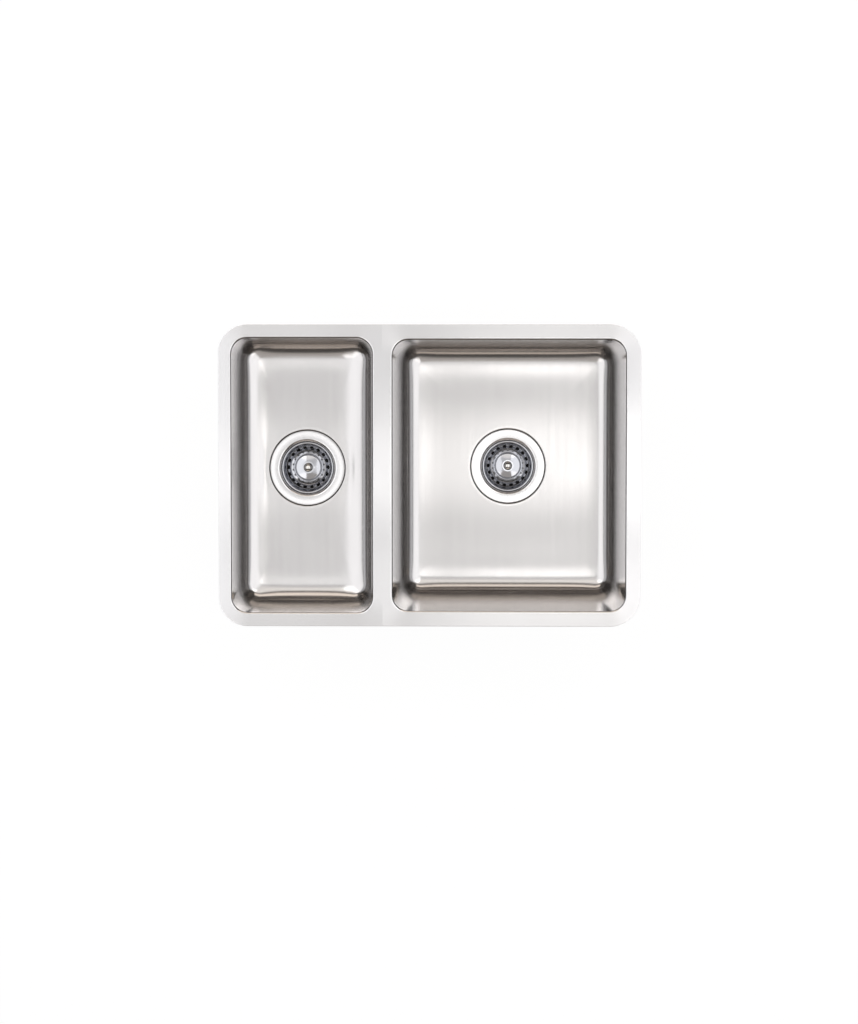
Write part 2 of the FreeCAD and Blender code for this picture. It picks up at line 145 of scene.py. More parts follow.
# The studio round the lamps, from the horizon (0) to straight overhead (1): dim, and warmer low down
STUDIO_STRENGTH = 0.75
STUDIO = (
    (0.00, "5E5751"),
    (0.60, "605B57"),
    (1.00, "646464"),
)

# Lamps, which stand at one distance and face the sink's middle: angles off the upright towards +X and +Y,
# width and depth as seen from the sink, all in degrees, then brightness and tint
SINK_MIDDLE = (0.0685, 0.0, -0.05)
LAMP_DISTANCE = 3.0
LAMPS = {
    "overhead": (0.0, 0.0, 23.0, 32.0, 0.73, "FFFEFE"),
    "front_overhead": (0.0, -11.0, 23.0, 10.0, 0.04, "FFFEFE"),
    "overhead_strip": (4.4, -2.0, 8.0, 4.4, 1.55, "FFFEFC"),
    "small_strip": (-7.6, -2.4, 3.4, 3.6, 0.9, "FFFEFE"),
    "front_strip": (3.4, -8.2, 10.0, 4.0, 0.5, "FFFEFC"),
    "left_softbox": (-25.0, 0.0, 26.0, 50.0, 1.45, "FDFDFF"),
    "right_softbox": (24.5, 0.0, 27.0, 50.0, 1.45, "FDFDFF"),
    "left_low": (-51.0, 0.0, 14.0, 50.0, 0.7, "F8FAFF"),
    "right_low": (51.0, 0.0, 14.0, 50.0, 0.7, "F8FAFF"),
    "back_softbox": (0.0, 23.5, 50.0, 15.0, 1.25, "FFFAF5"),
    "back_low": (0.0, 61.0, 50.0, 34.0, 1.25, "FFF1E4"),
    "front_softbox": (0.0, -25.0, 50.0, 18.0, 0.45, "FFF6EE"),
}


def linear(code):
    """The linear colour of an sRGB hex code: c / 12.92 up to 0.04045, else ((c + 0.055) / 1.055) ** 2.4."""
    parts = np.array([int(code[place : place + 2], 16) for place in (0, 2, 4)]) / 255
    return tuple(np.where(parts <= 0.04045, parts / 12.92, ((parts + 0.055) / 1.055) ** 2.4))


def length(name, description, millimetres):
    """A length setting, given in millimetres and kept in metres."""
    return bpy.props.FloatProperty(
        name=name, description=description, default=millimetres * MM, min=0.0, precision=4, unit="LENGTH"
    )


def colour(name, description, code):
    """A colour setting, given as an sRGB hex code and kept linear."""
    return bpy.props.FloatVectorProperty(
        name=name, description=description, default=linear(code), min=0.0, max=1.0, subtype="COLOR"
    )


class BowlSizes(bpy.types.PropertyGroup):
    """Sizes of the two pressed bowls and their rim."""

    sheet: length("Sheet", "Thickness of the pressed sheet", 1.0)
    divider: length("Divider", "Width of the land between the bowls", 30.0)
    corner_r: length("Corner radius", "Radius of a bowl's upright corners at the rim", 23.0)
    rim_bend_r: length("Rim bend", "Radius over which the rim turns down into a wall", 3.0)
    rim_stub: length("Rim stub", "Flat land that belongs to the rim bend", 1.0)
    bottom_r: length("Bottom radius", "Radius between a wall and the floor", 23.0)
    small_side_lift: length("Small side lift", "Rise of the small floor's inside to its side walls", 2.2)
    main_side_lift: length("Main side lift", "Rise of the main floor's inside to its side walls", 1.3)
    end_lift: length("End lift", "Rise of both floors' inside to the front and back walls", 1.0)
    floor_ease: length("Floor ease", "Distance over which most of that rise fades out", 15.0)
    floor_corner_r: length("Floor corner", "Radius of the corners where the walls would meet the floor", 27.0)
    draft: bpy.props.FloatProperty(
        name="Draft", description="Lean of the walls", default=math.radians(3.5), unit="ROTATION"
    )
    small_end_land: length("Small end land", "Rim in front of and behind the small bowl", 20.0)
    main_end_land: length("Main end land", "Rim in front of and behind the main bowl", 22.5)
    edge_r: length("Edge radius", "Rounding of the rim's trimmed edge", 0.3)
    recess_depth: length("Recess depth", "How far the floor is pressed down round the waste", 3.0)
    recess_r: length("Recess radius", "Flat bottom of the recess", 55.9)
    recess_slope: length("Recess slope", "Width of the recess's sloping edge", 1.6)
    recess_bend_r: length("Recess bend", "Radius at the top of the recess", 1.6)
    recess_foot_r: length("Recess foot", "Radius at the foot of the recess", 0.5)
    recess_apron: length("Recess apron", "Floor round the recess that is part of its form", 4.0)
    waste_hole_r: length("Waste hole", "Radius of the hole for the waste", 45.0)


class WasteSizes(bpy.types.PropertyGroup):
    """Sizes of the waste flange with its cup, and of the plastic body. Drops are below the bowl floor."""

    sheet: length("Cup sheet", "Thickness of the flange and cup", 1.0)
    flange_r: length("Flange radius", "Outer radius of the flange", 54.5)
    flange_drop: length("Flange drop", "Top of the flange", 0.6)
    throat_r: length("Throat radius", "Inner radius of the cup", 39.6)
    throat_bend_r: length("Throat bend", "Radius over which the flange turns into the cup", 4.5)
    cup_bend_r: length("Cup bend", "Radius at the foot of the cup's wall", 2.5)
    seat_drop: length("Seat drop", "Seat that the stopper closes on", 41.0)
    seat_inner_r: length("Seat inner radius", "Inner radius of the seat", 33.0)
    hub_drop: length("Hub drop", "Flat round the centre screw", 52.0)
    hub_flat_r: length("Hub flat", "Radius of the flat round the screw", 12.0)
    hub_bend_r: length("Hub bend", "Radius at each end of the dished base", 2.0)
    screw_hole_r: length("Screw hole", "Radius of the hole for the centre screw", 4.3)
    drain_r: length("Drain hole", "Radius of a drain hole", 5.5)
    drain_count: bpy.props.IntProperty(name="Drain holes", description="Holes in the base", default=8, min=3)
    body_flange_drop: length("Body top", "Top of the plastic body's flange", 7.0)
    body_flange_r: length("Body flange", "Radius of the body's clamping flange", 55.0)
    body_flange_height: length("Body flange height", "Thickness of the clamping flange", 5.0)
    body_r: length("Body radius", "Outer radius of the body", 44.6)
    body_bore_r: length("Body bore", "Inner radius of the body", 41.6)
    cone_drop: length("Cone top", "Where the body starts to narrow", 54.0)
    outlet_drop: length("Outlet top", "Where the outlet starts", 72.0)
    outlet_end: length("Outlet end", "Lower end of the outlet", 98.0)
    outlet_r: length("Outlet radius", "Crest radius of the outlet's thread", 23.9)
    outlet_bore_r: length("Outlet bore", "Bore of the outlet", 20.0)
    thread_pitch: length("Thread pitch", "Pitch of the outlet's thread", 2.309)
    thread_depth: length("Thread depth", "Depth of the outlet's thread", 1.2)
    moulded_r: length("Moulded radius", "Rounding of the body's edges", 0.8)
    hub_r: length("Insert hub", "Radius of the hub for the screw's insert", 9.0)
    hub_top: length("Insert hub top", "Top of that hub", 53.0)
    hub_end: length("Insert hub end", "Lower end of that hub", 78.0)
    insert_r: length("Insert pocket", "Radius of the pocket for the insert", 6.1)
    insert_top: length("Insert top", "Top of the pocket", 56.0)
    insert_end: length("Insert end", "Lower end of the pocket", 70.0)
    rib_top: length("Rib top", "Top of the hub's ribs", 57.0)
    rib_end: length("Rib end", "Lower edge of the hub's ribs", 67.0)
    rib_thickness: length("Rib thickness", "Thickness of a rib", 3.0)
    rib_count: bpy.props.IntProperty(name="Ribs", description="Ribs that carry the hub", default=4, min=2)


class StrainerSizes(bpy.types.PropertyGroup):
    """Sizes of the basket and its knob. Drops are below the bowl floor."""

    sheet: length("Basket sheet", "Thickness of the basket", 0.8)
    lip_r: length("Lip radius", "Outer radius of the basket's lip", 39.0)
    lip_drop: length("Lip drop", "Top of the lip", 7.0)
    lip_width: length("Lip width", "Flat width of the lip", 2.8)
    lip_turn: length("Lip turn", "Height of the turned-down edge", 2.2)
    lip_bend_r: length("Lip bend", "Radius of the lip's bends", 1.3)
    wall_foot_r: length("Wall foot", "Radius at the foot of the wall", 33.5)
    base_r: length("Base radius", "Outer radius of the base", 26.5)
    base_drop: length("Base drop", "Lowest part of the base, at the foot of the boss", 31.0)
    base_rise: length("Base rise", "How far the base rises to its outer edge", 2.4)
    foot_rise: length("Foot rise", "Height of the sloping foot", 7.0)
    foot_bend_r: length("Foot bend", "Radius at each end of the sloping foot", 3.0)
    boss_r: length("Boss radius", "Radius of the raised middle at its foot", 20.2)
    boss_lean: length("Boss lean", "How far the boss's side leans in", 0.8)
    boss_height: length("Boss height", "Height of the raised middle", 8.5)
    boss_crown: length("Boss crown", "Fall from the boss's flat to its edge", 1.5)
    boss_flat_r: length("Boss flat", "Flat round the knob", 9.0)
    boss_bend_r: length("Boss bend", "Radius at the boss's foot", 1.2)
    boss_edge_r: length("Boss edge", "Radius at the boss's upper edge", 2.4)
    stem_hole_r: length("Stem hole", "Radius of the hole for the stem", 2.6)
    hole_count: bpy.props.IntProperty(name="Holes", description="Holes in each ring", default=18, min=3)
    small_hole_r: length("Small hole", "Radius of the holes in the base", 1.5)
    large_hole_r: length("Large hole", "Radius of the holes in the foot", 3.0)
    knob_r: length("Knob radius", "Largest radius of the knob", 6.8)
    knob_neck_r: length("Knob neck", "Radius of the knob's neck", 3.6)
    knob_neck_height: length("Neck height", "Height of the knob's neck", 3.5)
    knob_flare: length("Knob flare", "Height over which the knob widens", 2.5)
    knob_side: length("Knob side", "Upright side of the knob", 1.5)
    knob_crown: length("Knob crown", "Height of the knob's domed top", 3.5)
    knob_bore_r: length("Knob bore", "Radius of the bore for the stem", 2.55)
    knob_bore_depth: length("Knob bore depth", "Depth of that bore", 7.0)
    knob_edge_r: length("Knob edge", "Rounding of the knob's edges", 0.7)


class PadSizes(bpy.types.PropertyGroup):
    """Sizes of the sound-deadening pads under the floors."""

    corner_r: length("Pad corner", "Radius of a pad's corners", 8.0)
    edge_r: length("Pad edge", "Rounding of a pad's lower edge", 1.0)
    waffle_pitch: length("Waffle pitch", "Spacing of the embossed squares", 12.0)
    waffle_depth: length("Waffle depth", "Depth of the grooves between the squares", 0.7)
    groove_share: bpy.props.FloatProperty(
        name="Groove share", description="Part of the pitch that is groove", default=0.22, subtype="FACTOR"
    )


class SinkColours(bpy.types.PropertyGroup):
    """Colours of the materials, as seen in white light."""

    # The rim's colour is the bowl's steel made lighter: a painted highlight that makes the open land brighter
    # than the bowl
    rim_steel_painted_highlight: colour("Rim steel", "Stainless sheet, polished on the rim", "E5E4E4")
    bowl_steel: colour("Bowl steel", "Stainless sheet, satin brushed in the bowl", "CFCDCC")
    flange_steel: colour("Flange steel", "Bright pressed stainless of the waste flanges", "E4E3E3")
    plate_steel: colour("Plate steel", "Dull stamped stainless of the stopper plates", "77787A")
    basket_steel: colour("Basket steel", "Bright pressed stainless of the baskets", "BFC0C4")
    knob_steel: colour("Knob steel", "Polished stainless", "DAD8D4")
    screw_steel: colour("Screw steel", "Turned stainless", "C8C6C2")
    insert_brass: colour("Insert brass", "Turned brass", "D2B06A")
    seal_rubber: colour("Seal rubber", "Moulded nitrile rubber", "1C1C1D")
    pad_rubber: colour("Pad rubber", "Calendered rubber sheet", "3A3A3C")
    body_plastic: colour("Body plastic", "Moulded polypropylene", "DEDDD8")
    bush_plastic: colour("Bush plastic", "Moulded nylon", "E4E0D2")
    floor: colour("Floor", "Plain studio floor", "F4F4F4")


def rounded(corners, radii, steps=ARC_STEPS):
    """Points along straight runs through the corners, with an arc at each corner between the ends.

    An arc starts radius x tan(half the turn) before its corner, and its points are the centre plus the
    first spoke turned evenly through the corner's turn.
    """
    corners = np.asarray(corners, float)
    parts = [corners[:1]]
    for before, corner, after, radius in zip(corners, corners[1:], corners[2:], radii):
        arrive = (corner - before) / np.linalg.norm(corner - before)
        leave = (after - corner) / np.linalg.norm(after - corner)
        turn = math.atan2(arrive[0] * leave[1] - arrive[1] * leave[0], arrive @ leave)
        if radius <= 0:
            parts.append(corner[None])
            continue
        start = corner - arrive * radius * math.tan(abs(turn) / 2)
        spoke = math.copysign(radius, turn) * np.array([arrive[1], -arrive[0]])
        swept = np.linspace(0, turn, steps + 1)[:, None]
        turned_spoke = spoke * np.cos(swept) + np.array([-spoke[1], spoke[0]]) * np.sin(swept)
        parts.append(start - spoke + turned_spoke)
    parts.append(corners[-1:])
    return np.concatenate(parts)


def sheet_paths(corners, radii, thickness, steps=ARC_STEPS):
    """The skin and the back of sheet metal whose skin follows the corners, with the sheet on its right.

    A corner of the back lies on the bisector of the two runs, at thickness / (1 + their normals' product)
    times the sum of their normals, and its arc is the skin's, larger or smaller by the thickness.
    """
    corners = np.asarray(corners, float)
    ways = np.diff(corners, axis=0)
    ways /= np.linalg.norm(ways, axis=1, keepdims=True)
    right = np.stack([ways[:, 1], -ways[:, 0]], 1)
    mitre = (right[:-1] + right[1:]) / (1 + np.sum(right[:-1] * right[1:], axis=1, keepdims=True))
    shift = np.concatenate([right[:1], mitre, right[-1:]]) * thickness
    left_turn = ways[:-1, 0] * ways[1:, 1] > ways[:-1, 1] * ways[1:, 0]
    back_radii = np.asarray(radii) + np.where(left_turn, thickness, -thickness)
    return rounded(corners, radii, steps), rounded(corners + shift, back_radii, steps)


def divided(path, longest):
    """The path with even points added on each run that is longer than the longest step."""
    runs = np.linalg.norm(np.diff(path, axis=0), axis=1)
    counts = np.maximum(1, np.ceil(runs / longest)).astype(int)
    which = np.repeat(np.arange(len(runs)), counts)
    share = (np.arange(counts.sum()) - np.repeat(np.cumsum(counts) - counts, counts)) / counts[which]
    inner = path[which] + (path[which + 1] - path[which]) * share[:, None]
    return np.concatenate([inner, path[-1:]])


def between(first, last, steps):
    """Rows spaced evenly from the first row to the last, without the two themselves."""
    share = np.linspace(0, 1, steps + 1)[1:-1, None, None]
    return first + (last - first) * share


def row_distance(points):
    """Distance of each row from the first, along the grid's first column."""
    steps = np.linalg.norm(np.diff(points[:, 0], axis=0), axis=1)
    return np.concatenate([[0], np.cumsum(steps)])[:, None]


def lathe(path, angles):
    """A path of (radius, height) turned about the Z axis: x = radius cos(angle), y = radius sin(angle)."""
    radius, height = path[:, :1], path[:, 1:]
    flat = [radius * np.cos(angles), radius * np.sin(angles), height + 0 * angles]
    return np.stack(flat, -1)


def shell(points, along, across, period=1.0, close_rows=False, level_rows=None):
    """Quads over a grid of rows and columns whose columns close on themselves, with its brush marks.

    along and across are in metres and have one column more than the points. The brush way winds the
    along distance round a circle as long as the period, so that the marks meet where the columns close;
    on a piece without marks it can be any length. Between two level rows the marks run along Y instead.
    """
    rows, columns = points.shape[:2]
    row, column = np.meshgrid(np.arange(rows if close_rows else rows - 1), np.arange(columns), indexing="ij")
    row = np.stack([row, row, row + 1, row + 1], -1).reshape(-1, 4) % rows
    column = np.stack([column, column + 1, column + 1, column], -1).reshape(-1, 4)
    along = np.broadcast_to(along, (rows, columns + 1))[row, column]
    across = np.broadcast_to(across, (rows, columns + 1))[row, column]
    turn = along * (2 * math.pi / period)
    circle = period / (2 * math.pi)
    faces = row * columns + column % columns
    brush = {
        "points": points.reshape(-1, 3),
        "faces": faces,
        "uv": np.stack([across, along], -1),
        "way": np.stack([circle * np.cos(turn), circle * np.sin(turn), across], -1),
    }
    if level_rows is not None:
        level = level_rows[row].all(axis=1)
        place = brush["points"][faces[level]]
        brush["uv"][level] = place[..., :2]
        brush["way"][level] = np.stack([place[..., 1], 0 * place[..., 1], place[..., 0]], -1)
    return brush


def turned_shell(path, close_rows=False, offset=0.0, steps=TURN_STEPS):
    """A lathe shell whose brush marks run round its axis."""
    angles = offset + np.linspace(0, 2 * math.pi, steps + 1)
    points = lathe(path, angles[:-1])
    radius = path[:, 0].max()
    return shell(points, angles * radius, row_distance(points), 2 * math.pi * radius, close_rows)


def pierced_shells(start, end, thickness, count, hole_r, offset):
    """A straight run of sheet, turned about the Z axis, with a ring of round holes at its middle.

    Each hole has a cell of its own. The cell's border is a rectangle in angle and distance along the run,
    and each border point is joined to the hole's edge in the direction of the hole's centre.
    """
    run = end - start
    half = np.linalg.norm(run) / 2
    way = run / np.linalg.norm(run)
    right = np.array([way[1], -way[0]])
    middle = (start + end) / 2
    wedge = math.pi / count
    wide = TURN_STEPS // count
    tall = 2 * HOLE_STEPS
    even = np.linspace(-1, 1, wide + 1)[:-1]
    upright = np.linspace(-1, 1, tall + 1)[:-1]
    border_turn = np.concatenate([even, np.ones(tall), -even, -np.ones(tall)]) * wedge
    border_run = np.concatenate([-np.ones(wide), upright, np.ones(wide), -upright]) * half
    aim = np.arctan2(border_run, border_turn * middle[0])
    hole_run = hole_r * np.sin(aim)
    hole_turn = hole_r * np.cos(aim) / (middle[0] + hole_run * way[0])
    share = np.linspace(0, 1, HOLE_STEPS + 1)[:, None]
    turn = border_turn + (hole_turn - border_turn) * share
    distance = border_run + (hole_run - border_run) * share
    turn = np.concatenate([turn, turn[::-1]])
    distance = np.concatenate([distance, distance[::-1]])
    depth = np.repeat([0, thickness], HOLE_STEPS + 1)[:, None]
    radius = middle[0] + distance * way[0] + depth * right[0]
    height = middle[1] + distance * way[1] + depth * right[1]
    shells = []
    for angle in offset + 2 * wedge * np.arange(count):
        points = np.stack([radius * np.cos(turn + angle), radius * np.sin(turn + angle), height], -1)
        along = (turn + angle) * middle[0]
        columns = np.arange(turn.shape[1] + 1) % turn.shape[1]
        shells.append(shell(points, along[:, columns], distance[:, columns], 2 * math.pi * middle[0]))
    return shells


def along_run(start, end, shares):
    """The two points at the shares given of the way from start to end."""
    start, end = np.asarray(start, float), np.asarray(end, float)
    return [start + (end - start) * share for share in shares]


def make_piece(name, shells, material, place=(0, 0, 0)):
    """One mesh object from shells: doubles are merged, and faces turned outwards."""
    sizes = [len(part["points"]) for part in shells]
    firsts = np.cumsum([0] + sizes[:-1])
    points = np.concatenate([part["points"] for part in shells]) + np.asarray(place)
    faces = np.concatenate([part["faces"] + first for part, first in zip(shells, firsts)])
    mesh = bpy.data.meshes.new(name)
    mesh.from_pydata(points, [], faces)
    uv = mesh.uv_layers.new(name=BRUSH_UV)
    uv.data.foreach_set("uv", np.concatenate([part["uv"] for part in shells]).ravel())
    way = mesh.attributes.new(BRUSH_WAY, "FLOAT_VECTOR", "CORNER")
    way.data.foreach_set("vector", np.concatenate([part["way"] for part in shells]).ravel())
    work = bmesh.new()
    work.from_mesh(mesh)
    bmesh.ops.remove_doubles(work, verts=work.verts, dist=WELD_DISTANCE)
    bmesh.ops.recalc_face_normals(work, faces=work.faces)
    work.to_mesh(mesh)
    work.free()
    mesh.shade_smooth()
    mesh.set_sharp_from_angle(angle=SHARP_ANGLE)
    mesh.materials.append(material)
    piece = bpy.data.objects.new(name, mesh)
    bpy.context.scene.collection.objects.link(piece)
    return piece


def stand_for(piece, node, body):
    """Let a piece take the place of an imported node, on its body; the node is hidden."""
    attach(piece, body)
    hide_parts(node)


def waste_place(name):
    """The middle of a waste on its bowl floor, which is where the strainer's turning joint is."""
    joint = next(j for j in frame["joints"] if j["name"] == f"{name}_strainer_turn")
    return np.array(joint["pos_m"], float)


def make_at_wastes(made, shells, material, part, lifts=False):
    """One piece at each waste, in place of that waste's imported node. What lifts rides on the strainer."""
    for name in BOWL_NAMES:
        piece = make_piece(f"{name}_{made}", shells, material, waste_place(name))
        stand_for(piece, f"{name}_{part}", f"{name}_strainer" if lifts else "sink")


def node(tree, kind, inputs=None, **settings):
    """Add one node with its settings. An input is a value, or the output socket that feeds it."""
    made = tree.nodes.new(kind)
    for key, value in settings.items():
        setattr(made, key, value)
    for key, value in (inputs or {}).items():
        if isinstance(value, bpy.types.NodeSocket):
            tree.links.new(value, made.inputs[key])
        else:
            made.inputs[key].default_value = value
    return made


def new_material(name):
    """An empty material with its node tree and its shader."""
    material = bpy.data.materials.new(name)
    material.use_nodes = True
    return material, material.node_tree, material.node_tree.nodes["Principled BSDF"]


def scaled_noise(tree, vector, spacing, detail=3.0):
    """Noise whose features are as far apart as the spacing says, in millimetres along each axis."""
    per_metre = [1 / (MM * size) for size in spacing]
    sized = node(tree, "ShaderNodeMapping", {"Vector": vector, "Scale": per_metre})
    noise = node(tree, "ShaderNodeTexNoise", {"Vector": sized.outputs[0], "Scale": 1.0, "Detail": detail})
    return noise.outputs[0]


def blended(tree, value, span, first, last):
    """A colour that runs from the first to the last as the value runs through the span."""
    share = node(tree, "ShaderNodeMapRange", {"Value": value, "From Min": span[0], "From Max": span[1]})
    mix = node(tree, "ShaderNodeMix", {0: share.outputs[0], 6: first, 7: last}, data_type="RGBA")
    return mix.outputs[2]


def toned(colour_value, share):
    """A colour with its brightness multiplied, as four numbers."""
    return tuple(part * share for part in colour_value) + (1.0,)


def metal(name, base, lines, run, roughness, marks, brushed=None, sheet_wave=0.0, rim=None):
    """Metal with brush or turning marks: lines is their spacing and run their length, in millimetres.

    The roughness goes from its first to its second value with the marks, marks is how high they stand in
    millimetres, and sheet_wave is how far the sheet waves over a hand's width, in millimetres. A rim colour,
    a lighter tone painted as a highlight, takes over from the base towards the origin's height. On a piece
    with brush marks of its own, brushed is how far they stretch a reflection; elsewhere the marks are rings
    round Z.
    """
    material, tree, shader = new_material(name)
    place = node(tree, "ShaderNodeTexCoord").outputs["Object"]
    way = place
    if brushed is not None:
        way = node(tree, "ShaderNodeAttribute", attribute_name=BRUSH_WAY).outputs["Vector"]
        tangent = node(tree, "ShaderNodeTangent", direction_type="UV_MAP", uv_map=BRUSH_UV)
        tree.links.new(tangent.outputs[0], shader.inputs["Tangent"])
        shader.inputs["Anisotropic"].default_value = brushed
    fine = scaled_noise(tree, way, (run, run, lines))
    streak_size = (STREAK_LENGTHS * run, STREAK_LENGTHS * run, STREAK_WIDTHS * lines)
    streaks = scaled_noise(tree, way, streak_size, detail=2.0)
    tone = blended(tree, streaks, NOISE_SPAN, toned(base, STREAK_TONE), toned(base, 1.0))
    # Painted highlight: towards the top the tone turns to the lighter rim colour
    if rim:
        height = node(tree, "ShaderNodeSeparateXYZ", {0: place}).outputs["Z"]
        tone = blended(tree, height, RIM_HIGHLIGHT_FADE, tone, toned(rim, 1.0))
    tree.links.new(tone, shader.inputs["Base Color"])
    patches = scaled_noise(tree, place, PATCH_SPACING, detail=2.0)
    rubbed = node(tree, "ShaderNodeMath", {0: fine, 1: patches}, operation="ADD").outputs[0]
    limits = {"From Min": NOISE_SUM_SPAN[0], "From Max": NOISE_SUM_SPAN[1]}
    limits |= {"To Min": roughness[0], "To Max": roughness[1]}
    rough = node(tree, "ShaderNodeMapRange", {"Value": rubbed} | limits)
    tree.links.new(rough.outputs[0], shader.inputs["Roughness"])
    wave = scaled_noise(tree, place, WAVE_SPACING, detail=1.0)
    waved = node(tree, "ShaderNodeBump", {"Height": wave, "Distance": sheet_wave * MM})
    marked = node(
        tree, "ShaderNodeBump", {"Height": fine, "Distance": marks * MM, "Normal": waved.outputs["Normal"]}
    )
    tree.links.new(marked.outputs["Normal"], shader.inputs["Normal"])
    shader.inputs["Metallic"].default_value = 1.0
    return material


def moulding(name, base, grain, roughness, height, ior, shade):
    """Moulded plastic or rubber: grain is the texture's size and height its relief, in millimetres.

    The roughness goes from its first to its second value with the texture, and shade is the tone of the
    darker flow marks.
    """
    material, tree, shader = new_material(name)
    place = node(tree, "ShaderNodeTexCoord").outputs["Object"]
    texture = scaled_noise(tree, place, (grain, grain, grain), detail=4.0)
    flow = scaled_noise(tree, place, FLOW_SPACING, detail=2.0)
    tone = blended(tree, flow, NOISE_SPAN, toned(base, shade), toned(base, 1.0))
    tree.links.new(tone, shader.inputs["Base Color"])
    limits = {"To Min": roughness[0], "To Max": roughness[1]}
    rough = node(tree, "ShaderNodeMapRange", {"Value": texture} | limits)
    tree.links.new(rough.outputs[0], shader.inputs["Roughness"])
    bump = node(tree, "ShaderNodeBump", {"Height": texture, "Distance": height * MM})
    tree.links.new(bump.outputs["Normal"], shader.inputs["Normal"])
    shader.inputs["IOR"].default_value = ior
    return material


def brushed_bowl_steel(colours):
    """Stainless sheet, satin brushed: fine lines that spread a reflection across them.

    The real lines are about 0.1 mm apart; they are drawn at 1.6 mm so that they show in the render.
    """
    return metal(
        "Brushed stainless sheet",
        colours.bowl_steel,
        lines=1.6,
        run=140,
        roughness=(0.14, 0.18),
        marks=0.0002,
        brushed=0.8,
        sheet_wave=0.04,
        # The rim colour is a painted highlight: a lighter copy of this steel over the land and the rim bend
        rim=colours.rim_steel_painted_highlight,
    )


def bright_flange_steel(colours):
    """Stainless pressing, bright with faint spinning marks round its axis, drawn at 0.9 mm to show."""
    return metal(
        "Bright spun stainless",
        colours.flange_steel,
        lines=0.9, run=40, roughness=(0.10, 0.15), marks=0.001, brushed=0.3,
    )


def pierced_basket_steel(colours):
    """Stainless pressing, pierced and tumbled bright, with faint forming marks round its axis at 0.9 mm."""
    return metal(
        "Bright pierced stainless",
        colours.basket_steel,
        lines=0.9, run=40, roughness=(0.08, 0.13), marks=0.001, brushed=0.3,
    )


def polished_knob_steel(colours):
    """Turned stainless, buffed until it mirrors, with the last faint turning marks."""
    return metal(
        "Polished turned stainless",
        colours.knob_steel,
        lines=0.7, run=30, roughness=(0.05, 0.10), marks=0.0006, brushed=0.2,
    )


def turned_screw_steel(colours):
    """Stainless bar, turned: rings left by the tool, about 0.3 mm apart."""
    return metal(
        "Turned stainless bar",
        colours.screw_steel,
        lines=0.3, run=60, roughness=(0.20, 0.34), marks=0.004,
    )


def stopper_plate_steel(colours):
    """Stainless disc, stamped from dull sheet: almost plain, with soft patches."""
    return metal(
        "Stamped stainless disc",
        colours.plate_steel,
        lines=4.0, run=60, roughness=(0.18, 0.28), marks=0.002,
    )


def turned_brass(colours):
    """Brass bar, turned: a warm metal with fine tool rings."""
    return metal(
        "Turned brass bar",
        colours.insert_brass,
        lines=0.3, run=60, roughness=(0.18, 0.30), marks=0.004,
    )


def moulded_rubber(colours):
    """Nitrile rubber, moulded: near black, dull, with a fine skin."""
    return moulding(
        "Moulded nitrile rubber",
        colours.seal_rubber,
        grain=0.5, roughness=(0.50, 0.66), height=0.02, ior=1.52, shade=0.7,
    )


def rubber_sheet(colours):
    """Filled rubber sheet, calendered: dark grey and dull, with a coarse skin."""
    return moulding(
        "Calendered rubber sheet",
        colours.pad_rubber,
        grain=1.4, roughness=(0.62, 0.82), height=0.08, ior=1.52, shade=0.75,
    )


def moulded_polypropylene(colours):
    """Polypropylene, injection moulded: pale, half dull, with a spark-eroded skin about 0.4 mm in grain."""
    return moulding(
        "Moulded polypropylene",
        colours.body_plastic,
        grain=0.4, roughness=(0.34, 0.50), height=0.012, ior=1.49, shade=0.94,
    )


def moulded_nylon(colours):
    """Nylon, injection moulded: ivory, smooth and a little waxy."""
    return moulding(
        "Moulded nylon",
        colours.bush_plastic,
        grain=0.5, roughness=(0.28, 0.40), height=0.006, ior=1.53, shade=0.94,
    )


def core_rectangle(half):
    """Points round the rectangle of a bowl's corner axes as shares of its halves, and the way each faces.

    Along a side the points are even and face straight out. At a corner they stay on its axis, and their
    facing turns evenly through a right angle.
    """
    corners = np.array([(1, -1), (1, 1), (-1, 1), (-1, -1)], float)
    quarter = math.pi / 2
    cores = []
    turns = []
    for index in range(4):
        start, end = corners[index], corners[(index + 1) % 4]
        steps = math.ceil(np.linalg.norm((end - start) * half) / SIDE_STEP)
        share = np.linspace(0, 1, steps, endpoint=False)[:, None]
        cores += [start + (end - start) * share, np.repeat(end[None], CORNER_STEPS, axis=0)]
        turns += [np.full(steps, index * quarter)]
        turns += [(index + np.linspace(0, 1, CORNER_STEPS, endpoint=False)) * quarter]
    turn = np.concatenate(turns)
    return np.concatenate(cores), np.stack([np.cos(turn), np.sin(turn)], -1)


def rim_outline(core, facing, side, low, high, half_y, outer_r):
    """The rim's outer edge, straight out from each core point.

    It is the nearer of the two lines ahead, which leaves the weld line's corners square. The corners away
    from the weld line are arcs: their centre plus outer_r times the facing.
    """
    aim = np.maximum(np.abs(facing), LEAST_PART)
    reach_x = np.where(facing[:, 0] > 0, high - core[:, 0], core[:, 0] - low) / aim[:, 0]
    reach_y = (half_y - np.abs(core[:, 1])) / aim[:, 1]
    outline = core + facing * np.minimum(reach_x, reach_y)[:, None]
    turning = aim.min(axis=1) > TURNING_PART
    outer = turning & (facing[:, 0] * side > 0)
    outer_x = high - outer_r if side > 0 else low + outer_r
    centre = np.stack([np.full(len(core), outer_x), np.sign(facing[:, 1]) * (half_y - outer_r)], -1)
    outline[outer] = (centre + outer_r * facing)[outer]
    for end in (-1, 1):
        inner = turning & (facing[:, 0] * side < 0) & (facing[:, 1] * end > 0)
        nearest = np.argmin(np.where(inner, np.abs(reach_x - reach_y), np.inf))
        outline[nearest] = (0.0, end * half_y)
    return outline


